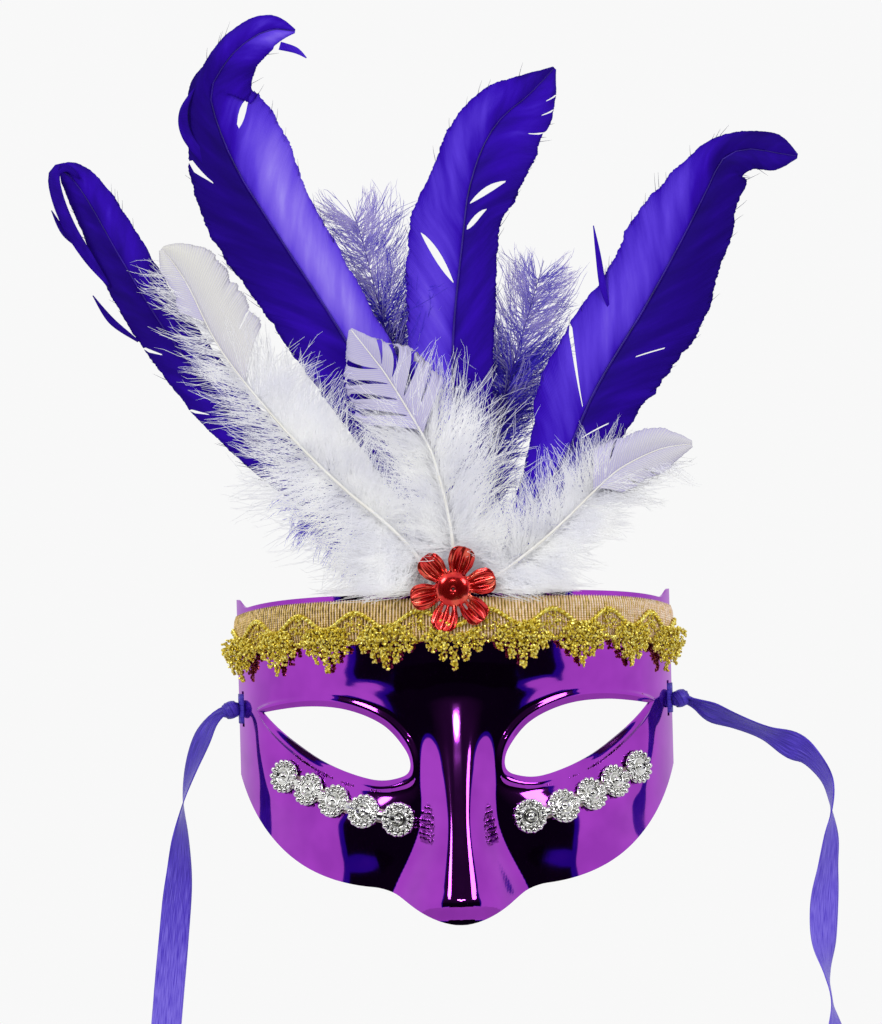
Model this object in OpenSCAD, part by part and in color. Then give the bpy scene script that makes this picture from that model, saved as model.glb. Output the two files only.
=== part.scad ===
// Venetian half mask: a thin formed face shell with a braided forehead edge, a foil flower,
// two rosette strips on the cheeks, a fan of feathers and two tie ribbons.
// Millimetres. The wearer looks towards -Y, +X is on the right as seen from the front, +Z is up.
// The origin is where the inside of the nose bridge rests on the wearer, on the middle plane.

/* [Shell] */
// Radius of the shell's curve round the face
shell_r = 90; // [86:1:96]
// Length of the curve from the nose line to each rear edge
shell_half_arc = 113; // [110:1:118]
// Thickness of the formed sheet
shell_wall = 0.9; // [0.7:0.1:1.4]
// Height of the forehead edge above the eye line
forehead_z = 59; // [57:1:64]
// Fall of the forehead edge towards the temples
temple_drop = 7; // [5:1:10]
// Height of the pointed upper corners above the temple line
horn_rise = 5; // [3:1:8]
// Height at which each rear edge turns into the cheek edge
side_z = -12; // [-15:1:-9]
// Height of the lower edge beside the nose
cheek_z = -53; // [-57:1:-51]
// Depth of the pointed nose below the cheek edge
beak_drop = 12.5; // [10:0.5:16]

/* [Face relief] */
// Height of the nose at its tip
nose_h = 24; // [18:1:28]
// Width of the flat front of the nose
nose_flat_w = 3; // [2:0.5:5]
// Width of the nose where it meets the face between the eyes
nose_base_w = 32; // [29:1:34]
// Growth of the nose to each side towards its tip
nose_flare = 14; // [8:1:16]
// Depth of the eye sockets
socket_depth = 6; // [3:0.5:8]
// Height of the swelling on the forehead
brow_bulge = 3; // [1:0.5:4]
// Height of the swelling on each cheek
cheek_bulge = 2.5; // [1:0.5:4]

/* [Eyes] */
// Distance along the curve from the nose line to an eye's inner end
eye_inner = 19; // [18:0.5:21]
// Length of an eye along the curve
eye_len = 70; // [66:1:72]
// Height of an eye from its lowest to its highest edge
eye_h = 28; // [24:1:30]
// Height of the rolled lip round an eye
lip_h = 1.2; // [0.6:0.1:1.8]
// Width of the rolled lip round an eye
lip_w = 4.5; // [3.5:0.5:5.5]

/* [Ribbon slots] */
// Height of the middle of each ribbon slot
slot_z = 14; // [13:0.5:16]
// Height of a slot
slot_h = 14; // [13:0.5:16]
// Width of a slot
slot_w = 2.5; // [2:0.25:3.5]
// Width of the bar between a slot and the rear edge
bar_w = 4; // [3.5:0.25:5]

/* [Braid] */
// Height of the woven band
band_h = 16; // [14:0.5:17]
// Thickness of the woven band
band_t = 1.4; // [1:0.1:2]
// Length of the fringe lobes below the band
fringe_h = 9; // [6:0.5:11]
// Thickness of the fringe lobes
fringe_t = 3; // [2.4:0.1:3.6]
// Distance between two lobes
lobe_pitch = 25.3; // [23:0.1:28]
// Diameter of the waved gold cord
cord_d = 1.6; // [1.2:0.1:2]
// Height of the cord's wave above and below its middle
cord_wave = 3; // [2:0.25:4]

/* [Flower] */
// Diameter of the flower over its petals
flower_d = 33; // [28:0.5:38]
// Diameter of the domed middle
flower_cup_d = 15; // [13:0.5:17]
// Height of the domed middle
flower_dome = 2.5; // [1.5:0.25:3.5]
// Lift of the petal tips
petal_lift = 3; // [1:0.25:4]
// Thickness of the stamped foil
foil_t = 0.5; // [0.4:0.05:0.8]
// Number of petals
petals = 6; // [5:1:8]

/* [Rosettes] */
// Diameter of one rosette
rosette_d = 13.6; // [12.5:0.1:13.8]
// Distance between two rosettes
rosette_pitch = 14; // [13.9:0.1:14.4]
// Number of rosettes on each cheek
rosettes = 5; // [3:1:5]
// Height of the middle bead of a rosette
rosette_h = 3; // [2.4:0.1:4]

/* [Feathers] */
// Diameter of a quill at its root
quill_d = 2; // [1.6:0.1:2.3]
// Thickness of a firm vane
vane_t = 0.7; // [0.5:0.05:1]
// Thickness of a downy vane
down_t = 1.4; // [1:0.1:1.8]

/* [Ribbons] */
// Width of the satin ribbon
ribbon_w = 12; // [10:0.5:12]
// Thickness of the satin ribbon
ribbon_t = 0.5; // [0.4:0.05:0.8]
// Radius of the knot behind each slot
knot_r = 3.6; // [3:0.1:4]

/* [Hidden] */

LEFT = -1;
RIGHT = 1;
GLUE_BITE = 0.15;

// Small helpers for numbers, vectors and curves
function clamp01(x) = max(0, min(1, x));
function smooth(a, b, x) = let (t = clamp01((x - a) / (b - a))) t * t * (3 - 2 * t);
function bell(u, v) = let (q = u * u + v * v) q < 1 ? (1 - q) * (1 - q) : 0;
function mix(a, b, t) = a + (b - a) * t;
function unit(v) = v / norm(v);
function pick(p, i) = p[max(0, min(len(p) - 1, i))];
// A smooth curve through a list of points, u running from 0 to the last index
function curve(p, u) =
    let (i = min(floor(u), len(p) - 2), t = u - i)
    let (a = pick(p, i - 1), b = pick(p, i), c = pick(p, i + 1), d = pick(p, i + 2))
    0.5 * (2 * b + (c - a) * t + (2 * a - 5 * b + 4 * c - d) * t * t + (3 * b - a - 3 * c + d) * t * t * t);
function curve_part(p, f) = curve(p, f * (len(p) - 1));

// A closed skin over rings that run anticlockwise about the way they advance
// The second half of a ring is split the other way, so that the two faces of a twisted strip stay parallel
function quad(a, b, c, d, other = false) = other ? [[b, a, d], [b, d, c]] : [[a, d, c], [a, c, b]];
function skin_faces(n, m, closed) = [
    for (k = [0 : closed ? n - 1 : n - 2])
        for (i = [0 : m - 1])
            let (e = (k + 1) % n, j = (i + 1) % m)
            each quad(k * m + i, k * m + j, e * m + j, e * m + i, i >= m / 2),
    if (!closed) for (i = [1 : m - 2]) [0, i, i + 1],
    if (!closed) for (i = [1 : m - 2]) [(n - 1) * m, (n - 1) * m + i + 1, (n - 1) * m + i]
];
module skin(rings, closed = false) {
    polyhedron([for (r = rings) each r], skin_faces(len(rings), len(rings[0]), closed), convexity = 10);
}

// The face surface: s is the distance along the curve from the nose line, z the height
tip_z = cheek_z - beak_drop;
nose_top_z = 25.8;
flare_z = -24;
nose_round = 5;
socket_s = 50;
socket_reach = [46, 30];
brow_z = 38;
brow_reach = [60, 20];
cheek_s = 45;
cheek_mid_z = -30;
cheek_reach = [40, 24];
function nose_ridge(z) =
    nose_h * pow(clamp01((nose_top_z - z) / (nose_top_z - tip_z)), 1.3) - nose_round * smooth(tip_z + 9, tip_z, z);
function nose_half(z) = nose_base_w / 2 + nose_flare * smooth(flare_z, tip_z, z);
function nose_relief(s, z) = nose_ridge(z) * (1 - smooth(nose_flat_w / 2, nose_half(z), abs(s)));
function relief(s, z) =
    nose_relief(s, z)
    - socket_depth * bell((abs(s) - socket_s) / socket_reach[0], z / socket_reach[1])
    + brow_bulge * bell(s / brow_reach[0], (z - brow_z) / brow_reach[1])
    + cheek_bulge * bell((abs(s) - cheek_s) / cheek_reach[0], (z - cheek_mid_z) / cheek_reach[1]);
seat_y = relief(0, 0) - shell_wall;
function turn(s) = s / shell_r * 180 / PI;
function face_point(s, z) =
    let (r = shell_r + relief(s, z))
    [r * sin(turn(s)), seat_y + shell_r - r * cos(turn(s)), z];
function face_normal(s, z) =
    let (e = 0.2)
    unit(cross(face_point(s + e, z) - face_point(s - e, z), face_point(s, z + e) - face_point(s, z - e)));
// A point at height h above the outside of the shell
function on_face(s, z, h) = face_point(s, z) + h * face_normal(s, z);

// The edge of one half of the shell, clockwise from the top of the nose line
horn_w = 14;
beak_half_w = 34;
cheek_start = 27;
cheek_curve = 2.1;
function temple_line(s) = forehead_z - temple_drop * pow(abs(s) / shell_half_arc, 3);
function top_edge(s) = temple_line(s) + horn_rise * pow(smooth(shell_half_arc - horn_w, shell_half_arc, s), 1.5);
function low_edge(s) =
    cheek_z + (side_z - cheek_z) * pow(max(0, s - cheek_start) / (shell_half_arc - cheek_start), cheek_curve)
    - beak_drop * (1 - smooth(0, beak_half_w, s));
TOP_N = 18;
REAR_N = 6;
SIDE_N = 6;
LOW_N = 20;
NOSE_N = 24;
OUTER_N = TOP_N + REAR_N;
UNDER_N = SIDE_N + LOW_N;
EDGE_N = OUTER_N + UNDER_N + NOSE_N;
RING_N = 10;
corner_z = 20;
// The nose has its own columns, from its side to the nose line
nose_s = 13;
nose_columns = [1, 0.85, 0.71, 0.58, 0.46, 0.35, 0.19, 0];
COLUMN_N = len(nose_columns) - 1;
function nose_at(i, c) = let (s = nose_s * nose_columns[c]) [s, mix(low_edge(s), top_edge(s), i / NOSE_N)];
edge_loop = [
    for (i = [0 : TOP_N - 1]) let (s = mix(nose_s, shell_half_arc, i / TOP_N)) [s, top_edge(s)],
    for (i = [0 : REAR_N - 1]) [shell_half_arc, mix(top_edge(shell_half_arc), corner_z, i / REAR_N)],
    for (i = [0 : SIDE_N - 1]) [shell_half_arc, mix(corner_z, side_z, i / SIDE_N)],
    for (i = [0 : LOW_N - 1]) let (s = mix(shell_half_arc, nose_s, i / LOW_N)) [s, low_edge(s)],
    for (i = [0 : NOSE_N - 1]) nose_at(i, 0)
];

// An eye's outline: sharp outer corner, arched top, round inner end, hollow lower edge
eye_low_z = -12;
function eye_at(u, v) = [eye_inner + u * eye_len, eye_low_z + v * eye_h];
eye_top = [eye_at(0.155, 0.76), eye_at(0.385, 0.965), eye_at(0.665, 1), eye_at(1, 0.9)];
eye_low = [eye_at(1, 0.9), eye_at(0.79, 0.53), eye_at(0.54, 0.21), eye_at(0.22, 0), eye_at(0.05, 0.03)];
eye_end = [eye_at(0.05, 0.03), eye_at(-0.01, 0.16), eye_at(0.02, 0.42), eye_at(0.155, 0.76)];
eye_loop = [
    for (i = [0 : OUTER_N - 1]) curve_part(eye_top, i / OUTER_N),
    for (i = [0 : UNDER_N - 1]) curve_part(eye_low, i / UNDER_N),
    for (i = [0 : NOSE_N - 1]) curve_part(eye_end, i / NOSE_N)
];

// The shell's skin runs in rings from an eye to the edge, with a rolled lip round the eye
lip_steps = [0, 0.27, 0.58, 1];
LIP_N = len(lip_steps) - 1;
function ring_distance(j, reach) =
    j <= LIP_N ? lip_steps[j] * lip_w : mix(lip_w, reach, (j - LIP_N) / (RING_N - LIP_N));
function lip_rise(d) = lip_h * (0.3 + 0.7 * smooth(0, 0.27 * lip_w, d)) * (1 - smooth(0.27 * lip_w, lip_w, d));
function shell_vertex(i, j, side, h) =
    let (e = eye_loop[i], o = edge_loop[i], reach = norm(o - e), d = ring_distance(j, reach))
    let (q = mix(e, o, d / reach), p = on_face(q[0], q[1], h + lip_rise(d)))
    [side * p[0], p[1], p[2]];
function nose_vertex(i, c, side, h) =
    let (q = nose_at(i, c), p = on_face(q[0], q[1], h))
    [side * p[0], p[1], p[2]];
shell_points = [
    for (side = [RIGHT, LEFT], h = [0, -shell_wall], i = [0 : EDGE_N - 1], j = [0 : RING_N])
        shell_vertex(i, j, side, h),
    for (side = [RIGHT, LEFT], h = [0, -shell_wall], i = [0 : NOSE_N], c = [1 : COLUMN_N])
        nose_vertex(i, c, side, h)
];
function shell_index(half, layer, i, j) = ((half * 2 + layer) * EDGE_N + i % EDGE_N) * (RING_N + 1) + j;
// The nose shares its sides with the rings, and both halves share the nose line
function nose_index(half, layer, i, c) =
    let (first = 4 * EDGE_N * (RING_N + 1), side = c == COLUMN_N ? 0 : half)
    c == 0 ? shell_index(half, layer, OUTER_N + UNDER_N + i, RING_N)
           : first + ((side * 2 + layer) * (NOSE_N + 1) + i) * COLUMN_N + c - 1;
function turned(q, flip) = flip ? quad(q[0], q[3], q[2], q[1]) : quad(q[0], q[1], q[2], q[3]);
function shell_faces(half) = [
    for (layer = [0, 1], i = [0 : EDGE_N - 1], j = [0 : RING_N - 1])
        each turned([
            shell_index(half, layer, i, j), shell_index(half, layer, i + 1, j),
            shell_index(half, layer, i + 1, j + 1), shell_index(half, layer, i, j + 1)
        ], (half + layer) % 2 == 1),
    for (layer = [0, 1], i = [0 : NOSE_N - 1], c = [0 : COLUMN_N - 1])
        each turned([
            nose_index(half, layer, i, c), nose_index(half, layer, i + 1, c),
            nose_index(half, layer, i + 1, c + 1), nose_index(half, layer, i, c + 1)
        ], (half + layer) % 2 == 1)
];
// The thin edges round an eye, round the shell, and under and over the nose
function rim_faces(half) = [
    for (i = [0 : EDGE_N - 1])
        each turned([
            shell_index(half, 0, i + 1, 0), shell_index(half, 0, i, 0),
            shell_index(half, 1, i, 0), shell_index(half, 1, i + 1, 0)
        ], half == 1),
    for (i = [0 : OUTER_N + UNDER_N - 1])
        each turned([
            shell_index(half, 0, i, RING_N), shell_index(half, 0, i + 1, RING_N),
            shell_index(half, 1, i + 1, RING_N), shell_index(half, 1, i, RING_N)
        ], half == 1),
    for (i = [0, NOSE_N], c = [0 : COLUMN_N - 1])
        each turned([
            nose_index(half, 0, i, c), nose_index(half, 0, i, c + 1),
            nose_index(half, 1, i, c + 1), nose_index(half, 1, i, c)
        ], (half == 1) != (i == NOSE_N))
];

// The ribbon slots and the bars that the ribbons turn on
slot_s = shell_half_arc - bar_w - slot_w / 2;
bar_s = shell_half_arc - bar_w / 2;
slot_point = on_face(slot_s, slot_z, -shell_wall / 2);
bar_point = on_face(bar_s, slot_z, -shell_wall / 2);

module mask_shell() {
    color("purple")
    difference() {
        polyhedron(shell_points, [for (half = [0, 1]) each concat(shell_faces(half), rim_faces(half))],
            convexity = 10);
        for (side = [LEFT, RIGHT])
            translate([side * slot_point[0], slot_point[1], slot_z])
                rotate([0, 0, side * turn(slot_s)])
                    cube([slot_w, 8, slot_h], center = true);
    }
}

// Strips of trim that lie on the face: one ring of points for each step along the curve
function strip_ring(s, z0, z1, h0, h1) =
    [on_face(s, z0, h0), on_face(s, z1, h0), on_face(s, z1, h1), on_face(s, z0, h1)];
function steps(a, b, n) = [for (i = [0 : n]) mix(a, b, i / n)];

// Braid: glue line, woven band, waved cord and beaded fringe under the forehead edge
braid_margin = 2;
braid_half = shell_half_arc - 1;
band_gap = 0.5;
glue_inset = 3;
BRAID_N = 60;
FRINGE_N = 96;
CORD_N = 90;
CORD_SIDES = 6;
braid_steps = steps(-braid_half, braid_half, BRAID_N);
function band_top(s) = temple_line(s) - braid_margin;
function band_low(s) = band_top(s) - band_h;

module braid_glue() {
    color("wheat")
    skin([
        for (s = braid_steps)
            strip_ring(s, band_low(s) + glue_inset, band_top(s) - glue_inset, -GLUE_BITE, band_gap + GLUE_BITE)
    ]);
}

module braid_band() {
    color("gold")
    skin([for (s = braid_steps) strip_ring(s, band_low(s), band_top(s), band_gap, band_gap + band_t)]);
}

// The cord dips over each lobe and rises between two of them
function cord_point(s) =
    on_face(s, band_top(s) - band_h / 2 - cord_wave * cos(360 * s / lobe_pitch), band_gap + band_t + cord_d * 0.35);
function cord_ring(s) =
    let (z = band_top(s) - band_h / 2, t = unit(cord_point(s + 0.2) - cord_point(s - 0.2)))
    let (n = unit(face_normal(s, z) - t * (face_normal(s, z) * t)), b = cross(t, n))
    [for (k = [0 : CORD_SIDES - 1])
        let (a = 360 * k / CORD_SIDES) cord_point(s) + cord_d / 2 * (n * cos(a) + b * sin(a))];
module braid_cord() {
    color("goldenrod")
    skin([for (s = steps(-braid_half + 1, braid_half - 1, CORD_N)) cord_ring(s)]);
}

// Lobes hang below the band, thick in their middles and almost bare between
function lobe(s) = pow(abs(cos(180 * s / lobe_pitch)), 0.8);
function fringe_ring(s) =
    let (low = band_low(s) - fringe_h * (0.12 + 0.88 * lobe(s)), top = band_low(s) + 1)
    let (t = fringe_t * (0.55 + 0.45 * lobe(s)), back = band_gap + 0.2)
    [
        on_face(s, low, back), on_face(s, top, back), on_face(s, top, back + 0.6 * t),
        on_face(s, mix(low, top, 0.6), back + t), on_face(s, low, back + 0.5 * t)
    ];
module braid_fringe() {
    color("gold")
    skin([for (s = steps(-braid_half, braid_half, FRINGE_N)) fringe_ring(s)]);
}

// Flower: a stamped foil flower with a domed middle, pierced once, glued over the braid
flower_z = forehead_z + 1.4;
flower_y = face_point(0, band_top(0))[1] - band_gap - band_t - 1.6;
flower_hole_d = 1.4;
petal_first = 13;
petal_half_turn = 120 / petals;
petal_rim = 0.8;
PETAL_N = 8;
flower_steps = [0.1, 0.45, 0.75, 1];
petal_steps = [0.35, 0.7, 1];
function petal_reach(a) =
    let (off = abs((a - petal_first + 720 + 180 / petals) % (360 / petals) - 180 / petals) / petal_half_turn)
    flower_cup_d / 2 + petal_rim
    + (flower_d - flower_cup_d - 2 * petal_rim) / 2 * (off < 1 ? pow(1 - off * off, 0.45) : 0);
function flower_rise(r) =
    let (c = flower_cup_d / 2)
    r <= c ? flower_dome * (1 - pow(r / c, 2.4)) : petal_lift * pow((r - c) / (flower_d / 2 - c), 1.4);
function flower_ring(k, h) =
    let (n = len(flower_steps))
    [for (i = [0 : petals * PETAL_N - 1])
        let (a = petal_first + 360 * i / (petals * PETAL_N))
        let (c = flower_cup_d / 2)
        let (r = k == 0 ? flower_hole_d / 2 : k < n ? c * flower_steps[k] : mix(c, petal_reach(a), petal_steps[k - n]))
        [r * cos(a), flower_y - flower_rise(r) - h, flower_z + r * sin(a)]];
FLOWER_N = len(flower_steps) + len(petal_steps);
module foil_flower() {
    color("red")
    skin(concat(
        [for (k = [0 : FLOWER_N - 1]) flower_ring(k, 0)],
        [for (k = [FLOWER_N - 1 : -1 : 0]) flower_ring(k, foil_t)]
    ), closed = true);
}

// A dab of clear glue from the braid and the shell's top edge to the back of the flower
flower_glue_d = 12;
module flower_glue() {
    color("wheat")
    translate([0, flower_y + GLUE_BITE, flower_z - 5])
        rotate([90, 0, 0])
            translate([0, 0, -1.9])
                cylinder(d = flower_glue_d, h = 2.2, $fn = 48);
}

// Rosettes: a row of beaded discs on a moulded strap, curving up along each cheek
strip_s = 24.9;
strip_z = -26.8;
strip_tilt = 16;
strip_sag = 1.3;
strip_shift = 2;
rosette_gap = 0.6;
strap_w = 3;
strap_t = 0.9;
ROSETTE_N = 24;
STRAP_N = 16;
// Each ring of a rosette: share of the radius, share of the height, depth of the beading
rosette_profile = [
    [0.1, 0, 0], [0.96, 0, 0], [1, 0.28, 0.02], [0.82, 0.62, 0.1], [0.6, 0.36, 0.02],
    [0.44, 0.72, 0.06], [0.3, 0.46, 0], [0.16, 1, 0]
];
function strip_at(side, f) =
    let (run = (rosettes - 1) * rosette_pitch * cos(strip_tilt))
    [strip_s + side * strip_shift + f * run, strip_z + f * run * tan(strip_tilt) - strip_sag * 4 * f * (1 - f)];
function mirrored(p, side) = [side * p[0], p[1], p[2]];
module rosette(q, side) {
    n = face_normal(q[0], q[1]);
    u = unit(cross(n, [0, 0, -1]));
    v = cross(n, u);
    c = on_face(q[0], q[1], rosette_gap);
    rings = [
        for (p = rosette_profile)
            [for (i = [0 : ROSETTE_N - 1])
                let (a = side * 360 * i / ROSETTE_N, w = i % 2 == 0 ? 1 : 1 - p[2])
                mirrored(c + rosette_d / 2 * p[0] * w * (u * cos(a) + v * sin(a)) + rosette_h * p[1] * w * n, side)]
    ];
    skin(rings);
}
function strap_ring(side, f, w, h0, h1) =
    let (e = 0.01, q = strip_at(side, f), d = strip_at(side, f + e) - strip_at(side, f - e))
    let (p = [-d[1], d[0]] / norm(d) * w / 2, a = q - p, b = q + p)
    [for (k = [[a, h0], [b, h0], [b, h1], [a, h1]]) on_face(k[0][0], k[0][1], k[1])];
module strap(side, f0, f1, w, h0, h1) {
    rings = [for (f = steps(f0, f1, STRAP_N)) [for (p = strap_ring(side, f, w, h0, h1)) mirrored(p, side)]];
    skin(side == RIGHT ? rings : [for (i = [STRAP_N : -1 : 0]) rings[i]]);
}
module rosette_strip(side) {
    color("silver") {
        strap(side, 0, 1, strap_w, rosette_gap + 0.1, rosette_gap + strap_t);
        for (i = [0 : rosettes - 1])
            rosette(strip_at(side, i / (rosettes - 1)), side);
    }
}
module rosette_glue(side) {
    color("wheat")
    strap(side, -0.06, 1.06, 5, -GLUE_BITE, rosette_gap + GLUE_BITE);
}
module left_rosette_strip() { rosette_strip(LEFT); }
module right_rosette_strip() { rosette_strip(RIGHT); }
module left_rosette_glue() { rosette_glue(LEFT); }
module right_rosette_glue() { rosette_glue(RIGHT); }

// Feathers: the quills meet inside the forehead, just below the edge
root_z = forehead_z - 5;
root_y = face_point(0, root_z)[1] + shell_wall;
root = [0, root_y, root_z];
quill_down = 8;
// Rows of quills behind the shell, from front to back
row_1 = 2.2;
row_2 = 4.9;
row_3 = 7.6;

// Stations along a feather from its root: across, back, up, then the vane to its left and its right
far_left_run = [
    [-9.5, row_2, -quill_down, 0, 0], [-9.5, row_2, 0, 0, 0], [-13, 6.5, 10, 0, 0], [-27, 9.5, 26, 1, 1],
    [-47, 10, 42, 8, 9], [-79, 11, 70, 10, 10], [-105, 13, 104, 11, 10.5], [-123, 16, 134, 10, 10.5],
    [-136, 18, 158, 7, 9], [-143, 16, 168.5, 4, 6], [-147, 13, 171.5, 0.5, 0.5]
];
left_run = [
    [-3.5, row_2, -quill_down, 0, 0], [-3.5, row_2, 0, 0, 0], [-5, 3.6, 12, 0, 0], [-9, 2.8, 29, 3, 3],
    [-24, 2.8, 71, 14, 12], [-38.5, 2.8, 102, 19, 15], [-64, 2, 144, 22, 18], [-79, 1, 170, 17, 22],
    [-87, -1, 194, 9, 19], [-83.5, -4, 204, 7, 14], [-75.5, -8, 213, 7, 10], [-64, -11, 219, 6, 7],
    [-53.5, -13, 218, 0.5, 0.5]
];
centre_run = [
    [2.5, row_2, -quill_down, 0, 0], [2.5, row_2, 0, 0, 0], [2.5, 5.6, 10, 0, 0], [2.5, 7.6, 25, 3, 3],
    [2.2, 7.6, 63, 14, 13], [2.5, 8, 101, 17, 16], [7.5, 9, 142, 22, 14], [10, 10, 158, 17, 18],
    [15.5, 11, 174, 15, 20], [23, 12, 185.5, 13, 19], [34, 13, 194.5, 9, 13], [44.5, 14, 205, 0.5, 0.5]
];
right_run = [
    [8.5, row_2, -quill_down, 0, 0], [8.5, row_2, 0, 0, 0], [13, 4.8, 12, 0, 0], [30, 5.2, 35.5, 7, 7],
    [43.5, 5.2, 54, 15, 14], [56.5, 5, 81, 21, 18], [76.5, 4, 112.5, 20, 22], [91.5, 2, 138.5, 20, 17],
    [100.5, 0, 155.5, 15, 13], [107, -2, 167, 9, 12], [116.5, -4, 170, 7, 8], [127, -6, 168, 7, 6.5],
    [135, -7, 166.5, 0.5, 0.5]
];
white_left_run = [
    [-7, row_1, -quill_down, 0, 0], [-7, row_1, 0, 0, 0], [-8.5, 1.7, 9, 0, 0], [-14, -1.3, 20, 7, 6],
    [-25, -2.4, 32, 17, 13], [-41, -2.4, 46, 24, 18], [-62, -1.5, 68, 21, 21], [-85, 1, 98, 14, 20],
    [-97.5, 3, 123.5, 7, 17], [-103.5, 4, 133.5, 6.5, 12], [-108, 5, 139, 1, 1]
];
white_centre_run = [
    [0, row_1, -quill_down, 0, 0], [0, row_1, 0, 0, 0], [0.5, 1.5, 8, 0, 0], [0.5, -4.4, 22, 11, 14],
    [-1.5, -5, 37, 18, 24], [-4.5, -5, 50, 20, 26], [-8.5, -5.2, 62, 22, 24], [-22, -6, 86, 21, 20],
    [-29, -7, 96, 15, 9], [-36.5, -8, 106, 0.5, 0.5]
];
white_right_run = [
    [7, row_1, -quill_down, 0, 0], [7, row_1, 0, 0, 0], [12, 1.8, 8, 0, 0], [20, 0.7, 13, 9, 4],
    [29, 0.2, 19.5, 16, 12], [36, 0.2, 25, 18, 14], [44, 0, 32, 17, 8], [59, -1, 46, 13, 8],
    [67.5, -2, 52, 11, 9], [80.5, -3, 57.5, 8, 8], [92.5, -4, 59, 1, 1]
];
lilac_left_run = [
    [-4, row_3, -quill_down, 0, 0], [-4, row_3, 0, 0, 0], [-5, 9, 14, 0, 0], [-7.5, 12.4, 48, 4, 4],
    [-18, 12.6, 86, 12, 11], [-26.5, 13, 120, 14, 13], [-32, 13.5, 143.5, 11, 11], [-37, 14, 157, 1, 1]
];
lilac_right_run = [
    [4, row_3, -quill_down, 0, 0], [4, row_3, 0, 0, 0], [6, 10, 14, 0, 0], [13, 14.8, 47, 4, 4],
    [23.5, 15, 85, 11, 12], [32, 15.5, 111.5, 11, 12], [38.5, 16, 132, 1, 1]
];

// One feather: a tapered shaft with a thin vane that bends back a little at its edges
FEATHER_N = 26;
tip_shaft = 0.35;
vane_bow = 0.03;
function feather_ring(run, f, t) =
    let (q = curve_part(run, f), e = 0.004)
    let (d = curve_part(run, min(1, f + e)) - curve_part(run, max(0, f - e)))
    let (tan = unit([d[0], d[1], d[2]]), w = unit([tan[2], 0, -tan[0]]), n = cross(w, tan))
    let (c = root + [q[0], q[1], q[2]], shaft = mix(quill_d / 2, tip_shaft, f))
    let (left = max(shaft, q[3]), right = max(shaft, q[4]))
    let (half_l = max(t / 2, shaft * 0.7 - 0.1 * (left - shaft)))
    let (half_r = max(t / 2, shaft * 0.7 - 0.1 * (right - shaft)))
    let (mid_l = c - w * left * 0.6, mid_r = c + w * right * 0.6)
    [
        c + w * right - n * right * vane_bow, mid_r - n * half_r, c - n * shaft, mid_l - n * half_l,
        c - w * left - n * left * vane_bow, mid_l + n * half_l, c + n * shaft, mid_r + n * half_r
    ];
module feather(run, t) {
    skin([for (f = steps(0, 1, FEATHER_N)) feather_ring(run, f, t)]);
}
module purple_feather_far_left() { color("indigo") feather(far_left_run, vane_t); }
module purple_feather_left() { color("indigo") feather(left_run, vane_t); }
module purple_feather_centre() { color("indigo") feather(centre_run, vane_t); }
module purple_feather_right() { color("indigo") feather(right_run, vane_t); }
module white_feather_left() { color("white") feather(white_left_run, down_t); }
module white_feather_centre() { color("white") feather(white_centre_run, down_t); }
module white_feather_right() { color("white") feather(white_right_run, down_t); }
module lilac_down_left() { color("plum") feather(lilac_left_run, down_t); }
module lilac_down_right() { color("plum") feather(lilac_right_run, down_t); }

// Glue holds the quills inside the forehead, and a felt patch covers them
glue_half_w = 13;
glue_low = root_z - quill_down - 3;
glue_top = root_z + 2;
patch_half_w = 18;
patch_margin = 3;
patch_t = 1.2;
QUILL_N = 20;
pad_depth = row_3 + quill_d / 2 + 0.9;
function pad_share(s, half_w) = pow(max(0, 1 - pow(s / half_w, 4)), 0.5);
function patch_depth(s) = 0.3 + pad_depth * (1 - smooth(glue_half_w * 0.75, patch_half_w, abs(s)));
module quill_glue() {
    color("wheat")
    skin([
        for (s = steps(-glue_half_w, glue_half_w, QUILL_N))
            strip_ring(s, glue_low, glue_top, -shell_wall - max(0.4, min(patch_depth(s) + GLUE_BITE,
                pad_depth * pad_share(s, glue_half_w * 1.02))), -shell_wall + GLUE_BITE)
    ]);
}
module quill_patch() {
    color("dimgray")
    skin([
        for (s = steps(-patch_half_w, patch_half_w, QUILL_N))
            strip_ring(s, glue_low - patch_margin, glue_top - 0.5,
                -shell_wall - patch_depth(s) - patch_t, -shell_wall - patch_depth(s))
    ]);
}

// Ribbons: a loop round the bar, a knot outside it and a tail that hangs down
loop_clear = 0.4;
loop_layers = 2;
loop_in_r = norm([bar_w / 2, shell_wall / 2]) + loop_clear;
loop_out_r = loop_in_r + loop_layers * ribbon_t * 0.6;
knot_out = loop_out_r + knot_r - 0.6;
module ribbon_loop(side) {
    color("slateblue")
    translate([side * bar_point[0], bar_point[1], slot_z])
        difference() {
            cylinder(r = loop_out_r, h = ribbon_w, center = true, $fn = 64);
            cylinder(r = loop_in_r, h = ribbon_w + 2, center = true, $fn = 64);
        }
}
module ribbon_knot(side) {
    color("darkslateblue")
    translate([side * (bar_point[0] + knot_out), bar_point[1], slot_z])
        hull() {
            translate([0, 0, 0.6]) sphere(r = knot_r, $fn = 24);
            translate([side * 1.6, 0, -0.8]) sphere(r = knot_r * 0.9, $fn = 24);
        }
}

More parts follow.
